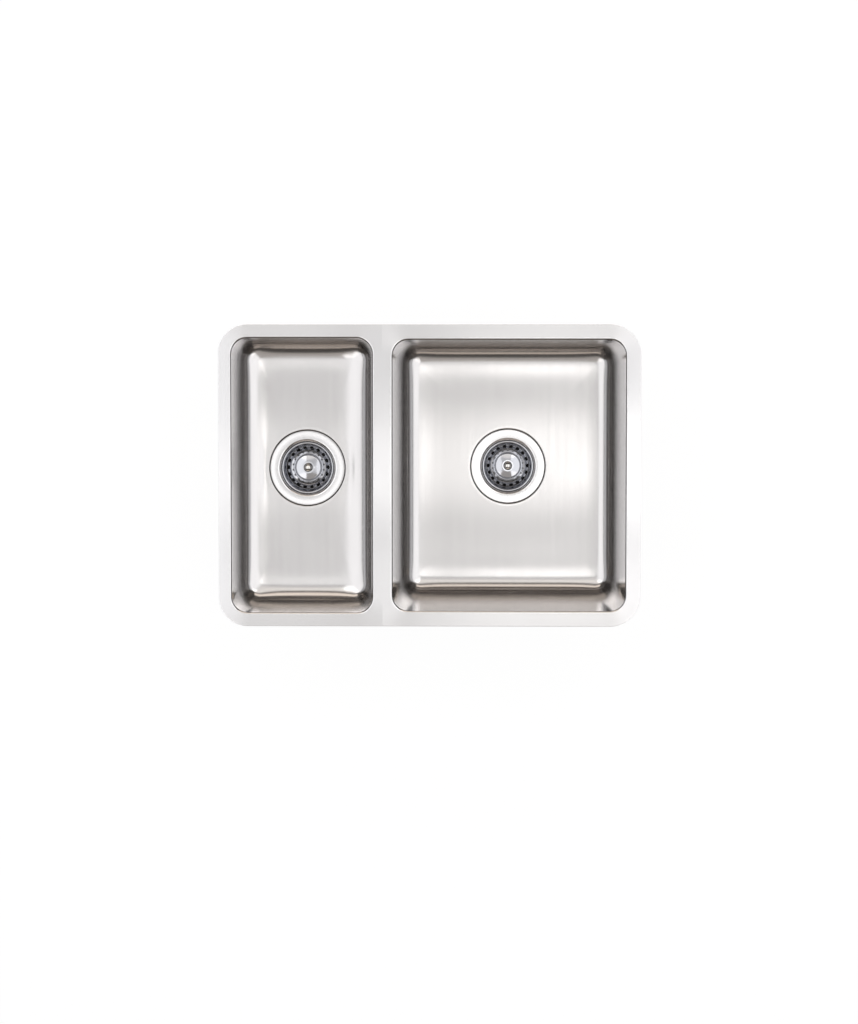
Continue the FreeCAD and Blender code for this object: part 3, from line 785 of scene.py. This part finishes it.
def wall_rows(path, bowl):
    """Rows of a bowl's wall: a path of (distance out from the opening, height) carried round the bowl.

    A corner's axis moves in from corner_r to foot_axis below the opening's edge as the height goes from 0 to
    the floor, so that the corners grow rounder downwards. A point is the core at that axis plus
    (axis + distance out) times the facing. bowl holds what bowl_shell says of the bowl.
    """
    out, height = path[:, :1, None], path[:, 1:, None]
    sunk = np.clip(-height / bowl["depth"], 0, 1)
    axis = bowl["corner_r"] + (bowl["foot_axis"] - bowl["corner_r"]) * sunk
    core = bowl["centre"] + bowl["unit"] * (bowl["half"] - axis)
    flat = core + (axis + out) * bowl["facing"]
    return np.concatenate([flat, np.broadcast_to(height, flat.shape[:2] + (1,))], -1)


def bowl_face(edge, walls, rounds, lift, ease):
    """One side of a bowl's sheet, as rows from the rim's outer edge to the waste hole.

    The land is ruled from the edge to the wall, with one row close to the edge to keep the land's shading
    flat. The floor is ruled from the wall's foot to the recess, with its rows closer together by the wall.
    It rises by the sum of lift x exp(-distance / ease) to the side walls and to the end walls, faded out
    smoothly on the way to the recess. The bottom bend goes on with the foot's rise times
    (1 + out) (1 - (out / reach) squared) squared, where out is the distance out from the foot / ease, so
    that the slope has no step. Also says which rows' marks run along Y: the floor's.
    """
    inward = walls[0] - edge[-1]
    beside = edge[-1] + inward * (EDGE_BAND / np.linalg.norm(inward, axis=-1, keepdims=True))
    land = np.concatenate([edge, beside[None], between(beside, walls[0], LAND_STEPS)])
    share = np.linspace(0, 1, FLOOR_STEPS + 1)[:, None, None] ** FLOOR_CROWDING
    floor = walls[-1] + (rounds[0] - walls[-1]) * share
    low, high = walls[-1, :, :2].min(axis=0), walls[-1, :, :2].max(axis=0)
    inside = np.minimum(floor[..., :2] - low, high - floor[..., :2])
    fade = 1 - share[..., 0] ** 2 * (3 - 2 * share[..., 0])
    rise = (lift * np.exp(-inside / ease)).sum(axis=-1) * fade
    out = np.linalg.norm(walls[..., :2] - walls[-1, :, :2], axis=-1) / ease
    taken = (1 + out) * (1 - np.clip(out / BEND_REACH, 0, 1) ** 2) ** 2
    up = np.array((0.0, 0.0, 1.0))
    floor = floor + rise[..., None] * up
    walls = walls + (rise[0] * taken)[..., None] * up
    rows = np.concatenate([land, walls[:-1], floor, rounds[1:]])
    return rows, np.arange(len(rows)) >= len(land) + len(walls) - 1


def bowl_shell(name, sizes):
    """One bowl as a closed grid: down the inside from the rim's edge to the waste hole, and back outside."""
    low, high = (np.array(corner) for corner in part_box(f"{name}_bowl"))
    waste = waste_place(name)
    side = math.copysign(1, waste[0])
    depth = -waste[2]
    half_width = abs(waste[0]) - sizes.divider / 2
    land = max(-low[0], high[0]) - sizes.divider / 2 - 2 * half_width
    half_length = high[1] - getattr(sizes, f"{name}_end_land")
    half = np.array([half_width, half_length])
    unit, facing = core_rectangle(half - sizes.corner_r)
    centre = np.array([waste[0], 0])
    core = centre + unit * (half - sizes.corner_r)
    outline = rim_outline(core, facing, side, low[0], high[0], high[1], sizes.corner_r + land)

    lean = depth * math.tan(sizes.draft)
    bend_share = math.tan((math.pi / 2 - sizes.draft) / 2)
    mouth = sizes.rim_bend_r * bend_share + sizes.rim_stub
    section = [(-lean - sizes.bottom_r * bend_share, -depth), (-lean, -depth), (0, 0), (mouth, 0)]
    walls = sheet_paths(section, [sizes.bottom_r, sizes.rim_bend_r], sizes.sheet, 2 * ARC_STEPS)
    apron = sizes.recess_r + sizes.recess_slope + sizes.recess_apron
    step = [
        (sizes.waste_hole_r, -sizes.recess_depth),
        (sizes.recess_r, -sizes.recess_depth),
        (sizes.recess_r + sizes.recess_slope, 0),
        (apron, 0),
    ]
    recesses = sheet_paths(step, [sizes.recess_foot_r, sizes.recess_bend_r], sizes.sheet)

    bowl = {
        "unit": unit,
        "facing": facing,
        "half": half,
        "centre": centre,
        "depth": depth,
        "corner_r": sizes.corner_r,
        "foot_axis": lean + sizes.floor_corner_r,
    }
    at_end = np.abs(outline[:, 1]) > high[1] - WELD_DISTANCE
    edge_way = np.where(at_end[:, None], np.sign(outline) * (0, 1), facing)
    trimmed = (at_end | (np.abs(outline[:, 0]) > WELD_DISTANCE)) * sizes.edge_r
    swing = np.linspace(0, math.pi / 2, ARC_STEPS // 2)[:, None, None]
    rounding = trimmed[:, None] * edge_way * (1 - np.cos(swing))
    top_edge = np.concatenate([outline - rounding, trimmed[:, None] * (np.sin(swing) - 1)], -1)
    low_edge = np.concatenate([outline, np.full((len(outline), 1), -sizes.sheet)], -1)[None]
    faces = []
    lifts = ((getattr(sizes, f"{name}_side_lift"), sizes.end_lift), (0, 0))
    for edge, wall, recess, lift in zip((top_edge, low_edge), walls, recesses, lifts):
        rows = wall_rows(divided(wall, depth / WALL_STEPS)[::-1], bowl)
        floor_edge = rows[-1, :, :2] - waste[:2]
        spokes = np.arctan2(floor_edge[:, 1], floor_edge[:, 0])
        rounds = lathe(recess[::-1], spokes) + waste
        faces.append(bowl_face(edge, rows, rounds, lift, sizes.floor_ease))
    (inside, inside_level), (outside, outside_level) = faces
    points = np.concatenate([inside, outside[::-1]])
    level_rows = np.concatenate([inside_level, outside_level[::-1]])
    mouth_ring = core + facing * (sizes.corner_r + mouth)
    gaps = np.linalg.norm(np.roll(mouth_ring, -1, axis=0) - mouth_ring, axis=1)
    along = np.concatenate([[0], np.cumsum(gaps)])
    return shell(points, along, row_distance(points), along[-1], close_rows=True, level_rows=level_rows)


def flange_shells(sizes):
    """Flange, cup and dished base: plain turned sheet, with one pierced run for the drain holes."""
    hub = (sizes.hub_flat_r, -sizes.hub_drop)
    seat = (sizes.seat_inner_r, -sizes.seat_drop)
    start, end = along_run(hub, seat, DRAIN_RUN)
    inner = sheet_paths([(sizes.screw_hole_r, -sizes.hub_drop), hub, start], [sizes.hub_bend_r], sizes.sheet)
    outer_corners = [
        end,
        seat,
        (sizes.throat_r, -sizes.seat_drop),
        (sizes.throat_r, -sizes.flange_drop),
        (sizes.flange_r, -sizes.flange_drop),
    ]
    outer = sheet_paths(outer_corners, [sizes.hub_bend_r, sizes.cup_bend_r, sizes.throat_bend_r], sizes.sheet)
    offset = -math.pi / sizes.drain_count
    shells = [turned_shell(np.concatenate([inner[1][::-1], inner[0]]), offset=offset)]
    shells.append(turned_shell(np.concatenate([outer[0], outer[1][::-1]]), offset=offset))
    return shells + pierced_shells(start, end, sizes.sheet, sizes.drain_count, sizes.drain_r, 0.0)


def basket_shells(sizes):
    """Basket: turned sheet with a pierced base and a pierced foot, which slope up outwards."""
    base = -sizes.base_drop
    boss_top = base + sizes.boss_height
    wall_top_r = sizes.lip_r - sizes.lip_width
    boss_foot = (sizes.boss_r, base)
    base_edge = (sizes.base_r, base + sizes.base_rise)
    wall_foot = (sizes.wall_foot_r, base + sizes.base_rise + sizes.foot_rise)
    base_run = along_run(boss_foot, base_edge, BASE_RUN)
    foot_run = along_run(base_edge, wall_foot, FOOT_RUN)
    boss = [
        (sizes.stem_hole_r, boss_top),
        (sizes.boss_flat_r, boss_top),
        (sizes.boss_r - sizes.boss_lean, boss_top - sizes.boss_crown),
        boss_foot,
        base_run[0],
    ]
    wall = [
        foot_run[1],
        wall_foot,
        (wall_top_r, -sizes.lip_drop),
        (sizes.lip_r, -sizes.lip_drop),
        (sizes.lip_r, -sizes.lip_drop - sizes.lip_turn),
    ]
    boss_radii = [sizes.boss_flat_r, sizes.boss_edge_r, sizes.boss_bend_r]
    inner = sheet_paths(boss, boss_radii, sizes.sheet)
    foot = sheet_paths([base_run[1], base_edge, foot_run[0]], [sizes.foot_bend_r], sizes.sheet)
    outer = sheet_paths(wall, [sizes.foot_bend_r, sizes.lip_bend_r, sizes.lip_bend_r], sizes.sheet)
    shells = [turned_shell(np.concatenate([inner[1][::-1], inner[0]]))]
    shells += [turned_shell(path) for path in foot]
    shells.append(turned_shell(np.concatenate([outer[0], outer[1][::-1]])))
    half_step = math.pi / sizes.hole_count
    shells += pierced_shells(*base_run, sizes.sheet, sizes.hole_count, sizes.small_hole_r, half_step)
    return shells + pierced_shells(*foot_run, sizes.sheet, sizes.hole_count, sizes.large_hole_r, 0.0)


def knob_shells(sizes):
    """Knob: a bored neck that flares to an upright side, under a domed crown of one arc."""
    foot = sizes.boss_height - sizes.base_drop
    neck_top = foot + sizes.knob_neck_height
    side_low = neck_top + sizes.knob_flare
    side_high = side_low + sizes.knob_side
    crown_r = (sizes.knob_r**2 + sizes.knob_crown**2) / (2 * sizes.knob_crown)
    swing = np.linspace(math.asin(sizes.knob_r / crown_r), 0, 2 * ARC_STEPS)
    top = side_high + sizes.knob_crown
    crown = np.stack([crown_r * np.sin(swing), top - crown_r * (1 - np.cos(swing))], -1)
    corners = [
        (0, foot + sizes.knob_bore_depth),
        (sizes.knob_bore_r, foot + sizes.knob_bore_depth),
        (sizes.knob_bore_r, foot),
        (sizes.knob_neck_r, foot),
        (sizes.knob_neck_r, neck_top),
        (sizes.knob_r, side_low),
        crown[0],
        crown[CROWN_LEAD],
    ]
    edge = sizes.knob_edge_r
    side = rounded(corners, [0, 0, 0, 2 * edge, edge, edge])
    return [turned_shell(np.concatenate([side[:-1], crown[CROWN_LEAD:]]))]


def threaded_shell(path, sizes):
    """The body's wall: a closed outline turned about the axis, with a thread cut into its outlet.

    On the outlet the radius is less the thread's depth times (1 + cos(height / pitch turns + angle)) / 2,
    and the thread fades out over one pitch at each end.
    """
    pitch = sizes.thread_pitch
    on_outlet = np.abs(path[:, 0] - sizes.outlet_r) < WELD_DISTANCE
    first, last = np.flatnonzero(on_outlet)[[0, -1]]
    heights = np.linspace(path[first, 1], path[last, 1], THREAD_STEPS)
    run = np.stack([np.full(THREAD_STEPS, sizes.outlet_r), heights], -1)
    path = np.concatenate([path[:first], run, path[last + 1 :]])
    angles = np.linspace(0, 2 * math.pi, TURN_STEPS + 1)
    points = lathe(path, angles[:-1])
    fade = np.zeros(len(path))
    ends = np.minimum(run[0, 1] - run[:, 1], run[:, 1] - run[-1, 1]) / pitch
    fade[first : first + len(run)] = np.clip(ends, 0, 1)
    wave = (1 + np.cos(2 * math.pi * path[:, 1:] / pitch + angles[:-1])) / 2
    cut = 1 - sizes.thread_depth * fade[:, None] * wave / np.maximum(path[:, :1], MM)
    points[..., :2] *= cut[..., None]
    radius = path[:, 0].max()
    return shell(points, angles * radius, row_distance(points), 2 * math.pi * radius, close_rows=True)


def rib_shell(sizes, angle):
    """A rib from the hub to the funnel: its outline carried across its thickness, closed at both sides."""

    def funnel_r(drop):
        fall = (drop - sizes.cone_drop) / (sizes.outlet_drop - sizes.cone_drop)
        outside = sizes.body_r + (sizes.outlet_r - sizes.body_r) * fall
        return outside - (sizes.body_r - sizes.body_bore_r) / 2

    inner = sizes.hub_r - (sizes.hub_r - sizes.insert_r) / 2
    corners = [
        (inner, -sizes.rib_top),
        (funnel_r(sizes.rib_top), -sizes.rib_top),
        (funnel_r(sizes.rib_end), -sizes.rib_end),
        (inner, -sizes.rib_end),
        (inner, -sizes.rib_top),
    ]
    outline = divided(np.array(corners), sizes.rib_thickness)[:-1]
    middle = outline.mean(axis=0)
    half = sizes.rib_thickness / 2
    share = np.array([0, 1, 1, 0])[:, None, None]
    flat = middle + (outline - middle) * share
    across = np.array([-half, -half, half, half])[:, None] + 0 * flat[..., 0]
    cos, sin = math.cos(angle), math.sin(angle)
    out, height = flat[..., 0], flat[..., 1]
    points = np.stack([out * cos - across * sin, out * sin + across * cos, height], -1)
    columns = np.arange(len(outline) + 1) % len(outline)
    return shell(points, flat[:, columns, 0], flat[:, columns, 1])


def body_shells(sizes):
    """Plastic body: clamping flange, straight wall, funnel and threaded outlet, with a hub on ribs.

    The wall's outline starts and ends on the bore, just below its top, where its rows close.
    """
    wall = [
        (sizes.body_bore_r, -sizes.body_flange_drop - MM),
        (sizes.body_bore_r, -sizes.body_flange_drop),
        (sizes.body_flange_r, -sizes.body_flange_drop),
        (sizes.body_flange_r, -sizes.body_flange_drop - sizes.body_flange_height),
        (sizes.body_r, -sizes.body_flange_drop - sizes.body_flange_height),
        (sizes.body_r, -sizes.cone_drop),
        (sizes.outlet_r, -sizes.outlet_drop),
        (sizes.outlet_r, -sizes.outlet_end),
        (sizes.outlet_bore_r, -sizes.outlet_end),
        (sizes.outlet_bore_r, -sizes.outlet_drop + (sizes.body_r - sizes.body_bore_r) / 2),
        (sizes.body_bore_r, -sizes.cone_drop),
        (sizes.body_bore_r, -sizes.body_flange_drop - 2 * MM),
    ]
    soft = sizes.moulded_r
    path = rounded(wall, [0, soft, soft, 2 * soft, 3 * soft, 0, soft, soft, 3 * soft, 3 * soft])
    hub = [
        (sizes.screw_hole_r, -sizes.hub_top),
        (sizes.hub_r, -sizes.hub_top),
        (sizes.hub_r, -sizes.hub_end),
        (sizes.screw_hole_r, -sizes.hub_end),
        (sizes.screw_hole_r, -sizes.insert_end),
        (sizes.insert_r, -sizes.insert_end),
        (sizes.insert_r, -sizes.insert_top),
        (sizes.screw_hole_r, -sizes.insert_top),
    ]
    hub_path = rounded(hub, [soft, soft, 0, 0, 0, 0])
    shells = [threaded_shell(path, sizes), turned_shell(hub_path, close_rows=True, steps=TURN_STEPS // 2)]
    turns = 2 * math.pi * np.arange(sizes.rib_count) / sizes.rib_count
    return shells + [rib_shell(sizes, angle) for angle in turns]


def pad_shares(size, pitch):
    """Shares from -1 to 1 across a pad, even and then closer by a sine near both edges."""
    even = np.linspace(-1, 1, math.ceil(size / pitch) * SQUARE_STEPS)
    spread = np.sin(np.linspace(-math.pi / 2, math.pi / 2, PAD_EDGE_STEPS + 1))
    close = (1 - spread) * PAD_EDGE_SHARE
    return np.unique(np.concatenate([even, 1 - close, close - 1]))


def pad_faces(low, high, sizes):
    """A flat pad with rounded corners and edges, and a waffle of shallow grooves pressed into its underside.

    Each row's half width is the pad's, less what a corner's arc takes. The underside rises by the rounding
    near the edge, and by the groove's depth where a row or column of the waffle passes.
    """
    middle = (low + high) / 2
    half = (high - low) / 2
    shares_x, shares_y = (pad_shares(2 * part, sizes.waffle_pitch) for part in half[:2])
    across, y = np.meshgrid(shares_x, shares_y * half[1], indexing="xy")
    into = np.maximum(np.abs(y) - (half[1] - sizes.corner_r), 0)
    width = half[0] - sizes.corner_r + np.sqrt(np.maximum(sizes.corner_r**2 - into**2, 0))
    x = across * width
    inside = np.minimum(width - np.abs(x), half[1] - np.abs(y))
    near = np.clip(1 - inside / sizes.edge_r, 0, 1)
    rounding = sizes.edge_r * (1 - np.sqrt(1 - near**2))
    beside_x, beside_y = (np.abs(np.sin(math.pi * part / sizes.waffle_pitch)) for part in (x, y))
    groove = np.minimum(beside_x, beside_y)
    pressed = np.clip(1 - groove / math.sin(math.pi * sizes.groove_share / 2), 0, 1)
    pressed = pressed * pressed * (3 - 2 * pressed) * sizes.waffle_depth
    under = np.stack([middle[0] + x, middle[1] + y, low[2] + np.maximum(rounding, pressed)], -1)
    upper = np.stack([middle[0] + x, middle[1] + y, np.full_like(x, high[2])], -1)
    return under, upper


def pad_shells(low, high, sizes):
    """Both faces of a pad as open grids, and the wall round them as a closed strip."""
    under, upper = pad_faces(low, high, sizes)
    shells = []
    for points in (under, upper):
        rows, columns = points.shape[:2]
        index = np.arange(rows * columns).reshape(rows, columns)
        faces = np.stack([index[:-1, :-1], index[:-1, 1:], index[1:, 1:], index[1:, :-1]], -1).reshape(-1, 4)
        flat = points.reshape(-1, 3)
        shells.append({"points": flat, "faces": faces, "uv": flat[faces][..., :2], "way": flat[faces]})
    border = [
        np.concatenate([points[0, :-1], points[:-1, -1], points[-1, :0:-1], points[:0:-1, 0]])
        for points in (under, upper)
    ]
    wall = np.stack(border)
    columns = np.arange(wall.shape[1] + 1) % wall.shape[1]
    shells.append(shell(wall, wall[:, columns, 0], wall[:, columns, 1]))
    return shells


class SINK_OT_bowls(bpy.types.Operator):
    """Make the two pressed bowls with their halves of the rim"""

    bl_idname = "sink.bowls"
    bl_label = "Pressed bowls"

    def execute(self, context):
        steel = brushed_bowl_steel(context.scene.sink_colours)
        for name in BOWL_NAMES:
            piece = make_piece(f"{name}_bowl_pressing", [bowl_shell(name, context.scene.bowl_sizes)], steel)
            stand_for(piece, f"{name}_bowl", "sink")
        return {"FINISHED"}


class SINK_OT_waste_flanges(bpy.types.Operator):
    """Make the waste flanges with their cups"""

    bl_idname = "sink.waste_flanges"
    bl_label = "Waste flanges"

    def execute(self, context):
        steel = bright_flange_steel(context.scene.sink_colours)
        shells = flange_shells(context.scene.waste_sizes)
        make_at_wastes("flange_pressing", shells, steel, "waste_flange")
        return {"FINISHED"}


class SINK_OT_baskets(bpy.types.Operator):
    """Make the pierced baskets"""

    bl_idname = "sink.baskets"
    bl_label = "Strainer baskets"

    def execute(self, context):
        steel = pierced_basket_steel(context.scene.sink_colours)
        shells = basket_shells(context.scene.strainer_sizes)
        make_at_wastes("basket_pressing", shells, steel, "basket", lifts=True)
        return {"FINISHED"}


class SINK_OT_knobs(bpy.types.Operator):
    """Make the pull knobs"""

    bl_idname = "sink.knobs"
    bl_label = "Pull knobs"

    def execute(self, context):
        steel = polished_knob_steel(context.scene.sink_colours)
        shells = knob_shells(context.scene.strainer_sizes)
        make_at_wastes("knob_turning", shells, steel, "pull_knob", lifts=True)
        return {"FINISHED"}


class SINK_OT_waste_bodies(bpy.types.Operator):
    """Make the moulded waste bodies under the floors"""

    bl_idname = "sink.waste_bodies"
    bl_label = "Waste bodies"

    def execute(self, context):
        plastic = moulded_polypropylene(context.scene.sink_colours)
        shells = body_shells(context.scene.waste_sizes)
        make_at_wastes("body_moulding", shells, plastic, "waste_body")
        return {"FINISHED"}


class SINK_OT_sound_pads(bpy.types.Operator):
    """Make the sound-deadening pads under the floors"""

    bl_idname = "sink.sound_pads"
    bl_label = "Sound pads"

    def execute(self, context):
        rubber = rubber_sheet(context.scene.sink_colours)
        for name in BOWL_NAMES:
            for place in PAD_PLACES:
                target = f"{name}_sound_pad_{place}"
                low, high = (np.array(corner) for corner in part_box(target))
                shells = pad_shells(low, high, context.scene.pad_sizes)
                piece = make_piece(f"{name}_pad_sheet_{place}", shells, rubber)
                stand_for(piece, target, "sink")
        return {"FINISHED"}


class SINK_OT_small_parts(bpy.types.Operator):
    """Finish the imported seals, screws, inserts, bushes and stopper parts, whose shapes stay"""

    bl_idname = "sink.small_parts"
    bl_label = "Seals and small parts"

    def execute(self, context):
        colours = context.scene.sink_colours
        rubber = moulded_rubber(colours)
        bar = turned_screw_steel(colours)
        finishes = {
            "flange_seal": rubber,
            "body_seal": rubber,
            "stopper_seal": rubber,
            "centre_screw": bar,
            "basket_stem": bar,
            "retaining_ring": bar,
            "stopper_plate": stopper_plate_steel(colours),
            "screw_insert": turned_brass(colours),
            "grip_bush": moulded_nylon(colours),
        }
        for name in BOWL_NAMES:
            for part, material in finishes.items():
                for slot in frame["nodes"][f"{name}_{part}"].material_slots:
                    slot.material = material
        return {"FINISHED"}


class SINK_OT_stage(bpy.types.Operator):
    """Make the floor, the soft light and the camera over the sink"""

    bl_idname = "sink.stage"
    bl_label = "Stage"

    def execute(self, context):
        scene = context.scene
        scene.view_settings.view_transform = "Standard"
        make_floor(scene.sink_colours)
        make_world(scene)
        make_lights(scene)
        make_camera(scene)
        return {"FINISHED"}


def make_floor(colours):
    """A wide pale floor just under the outlets: white to the eye and in reflections, with a faint shadow."""
    square = np.array([(-1, -1, 0), (1, -1, 0), (1, 1, 0), (-1, 1, 0)])
    corners = square * FLOOR_REACH + (0, 0, CAD_BOX[0][2] - FLOOR_GAP)
    mesh = bpy.data.meshes.new("floor")
    mesh.from_pydata(corners, [], [(0, 1, 2, 3)])
    material, tree, shader = new_material("Matt white studio floor")
    tree.nodes.remove(shader)
    path = node(tree, "ShaderNodeLightPath").outputs
    seen = path["Is Camera Ray"]
    for ray in ("Is Glossy Ray", "Is Transmission Ray"):
        seen = node(tree, "ShaderNodeMath", {0: seen, 1: path[ray]}, operation="MAXIMUM").outputs[0]
    share = node(tree, "ShaderNodeMath", {0: seen, 1: FLOOR_WHITE_SHARE}, operation="MULTIPLY")
    matt = node(tree, "ShaderNodeBsdfDiffuse", {"Color": toned(colours.floor, 1.0)})
    white = node(tree, "ShaderNodeEmission", {"Color": (1.0, 1.0, 1.0, 1.0), "Strength": FLOOR_WHITE})
    mixed = node(tree, "ShaderNodeMixShader", {0: share.outputs[0], 1: matt.outputs[0], 2: white.outputs[0]})
    tree.links.new(mixed.outputs[0], tree.nodes["Material Output"].inputs["Surface"])
    mesh.materials.append(material)
    floor = bpy.data.objects.new("floor", mesh)
    bpy.context.scene.collection.objects.link(floor)


def make_world(scene):
    """A dim studio, a little warmer low down, by the height of the way looked."""
    scene.world = bpy.data.worlds.new("Studio")
    scene.world.use_nodes = True
    tree = scene.world.node_tree
    way = node(tree, "ShaderNodeTexCoord").outputs["Generated"]
    height = node(tree, "ShaderNodeSeparateXYZ", {0: way}).outputs["Z"]
    ramp = node(tree, "ShaderNodeValToRGB", {0: height})
    stops = ramp.color_ramp.elements
    while len(stops) < len(STUDIO):
        stops.new(1.0)
    for stop, (position, tint) in zip(stops, STUDIO):
        stop.position = position
        stop.color = linear(tint) + (1.0,)
    background = tree.nodes["Background"]
    tree.links.new(ramp.outputs[0], background.inputs["Color"])
    background.inputs["Strength"].default_value = STUDIO_STRENGTH


def aimed(way):
    """The turns about X and Y that point something that faces down along the way given."""
    distance = np.linalg.norm(way)
    tip = math.asin(way[1] / distance)
    return tip, math.asin(-way[0] / (distance * math.cos(tip))), 0.0


def make_lights(scene):
    """Softboxes that the camera doesn't see. A lamp's power is its brightness times pi times its area."""
    for name, (*angles, brightness, tint) in LAMPS.items():
        across, back, wide, deep = np.radians(angles)
        way = np.array((math.tan(across), math.tan(back), 1.0))
        way *= LAMP_DISTANCE / np.linalg.norm(way)
        lamp = bpy.data.lights.new(name, "AREA")
        lamp.shape = "RECTANGLE"
        lamp.size = 2 * LAMP_DISTANCE * math.tan(wide / 2)
        lamp.size_y = 2 * LAMP_DISTANCE * math.tan(deep / 2)
        lamp.energy = brightness * math.pi * lamp.size * lamp.size_y
        lamp.color = linear(tint)
        softbox = bpy.data.objects.new(name, lamp)
        softbox.location = way + SINK_MIDDLE
        softbox.rotation_euler = aimed(-way)
        softbox.visible_camera = False
        scene.collection.objects.link(softbox)


def make_camera(scene):
    """A camera high over the sink, a little behind its middle and to the right, aimed down at it."""
    way = CAMERA_AIM - CAMERA_PLACE
    camera = bpy.data.cameras.new("overhead_camera")
    camera.sensor_width = SENSOR_WIDTH
    camera.lens = PIXELS_PER_METRE * np.linalg.norm(way) * SENSOR_WIDTH / IMAGE_HEIGHT
    holder = bpy.data.objects.new("overhead_camera", camera)
    holder.location = CAMERA_PLACE
    holder.rotation_euler = aimed(way)
    scene.collection.objects.link(holder)
    scene.camera = holder


class SINK_PT_parts(bpy.types.Panel):
    """Sidebar panel with the sink's settings and the steps that make it"""

    bl_label = "Sink"
    bl_space_type = "VIEW_3D"
    bl_region_type = "UI"
    bl_category = "Sink"

    def draw(self, context):
        for step in STEPS:
            self.layout.operator(step.bl_idname)
        for key, group in SETTINGS.items():
            box = self.layout.box()
            for setting in group.__annotations__:
                box.prop(getattr(context.scene, key), setting)


SETTINGS = {
    "bowl_sizes": BowlSizes,
    "waste_sizes": WasteSizes,
    "strainer_sizes": StrainerSizes,
    "pad_sizes": PadSizes,
    "sink_colours": SinkColours,
}
STEPS = (
    SINK_OT_bowls,
    SINK_OT_waste_flanges,
    SINK_OT_baskets,
    SINK_OT_knobs,
    SINK_OT_waste_bodies,
    SINK_OT_sound_pads,
    SINK_OT_small_parts,
    SINK_OT_stage,
)


def register():
    for group in SETTINGS.values():
        bpy.utils.register_class(group)
    for key, group in SETTINGS.items():
        setattr(bpy.types.Scene, key, bpy.props.PointerProperty(type=group))
    for step in STEPS + (SINK_PT_parts,):
        bpy.utils.register_class(step)


def unregister():
    for step in STEPS + (SINK_PT_parts,):
        bpy.utils.unregister_class(step)
    for key, group in SETTINGS.items():
        delattr(bpy.types.Scene, key)
        bpy.utils.unregister_class(group)


def main():
    register()
    bpy.ops.sink.bowls()
    bpy.ops.sink.waste_flanges()
    bpy.ops.sink.baskets()
    bpy.ops.sink.knobs()
    bpy.ops.sink.waste_bodies()
    bpy.ops.sink.sound_pads()
    bpy.ops.sink.small_parts()
    bpy.ops.sink.stage()


if __name__ == "__main__":
    main()
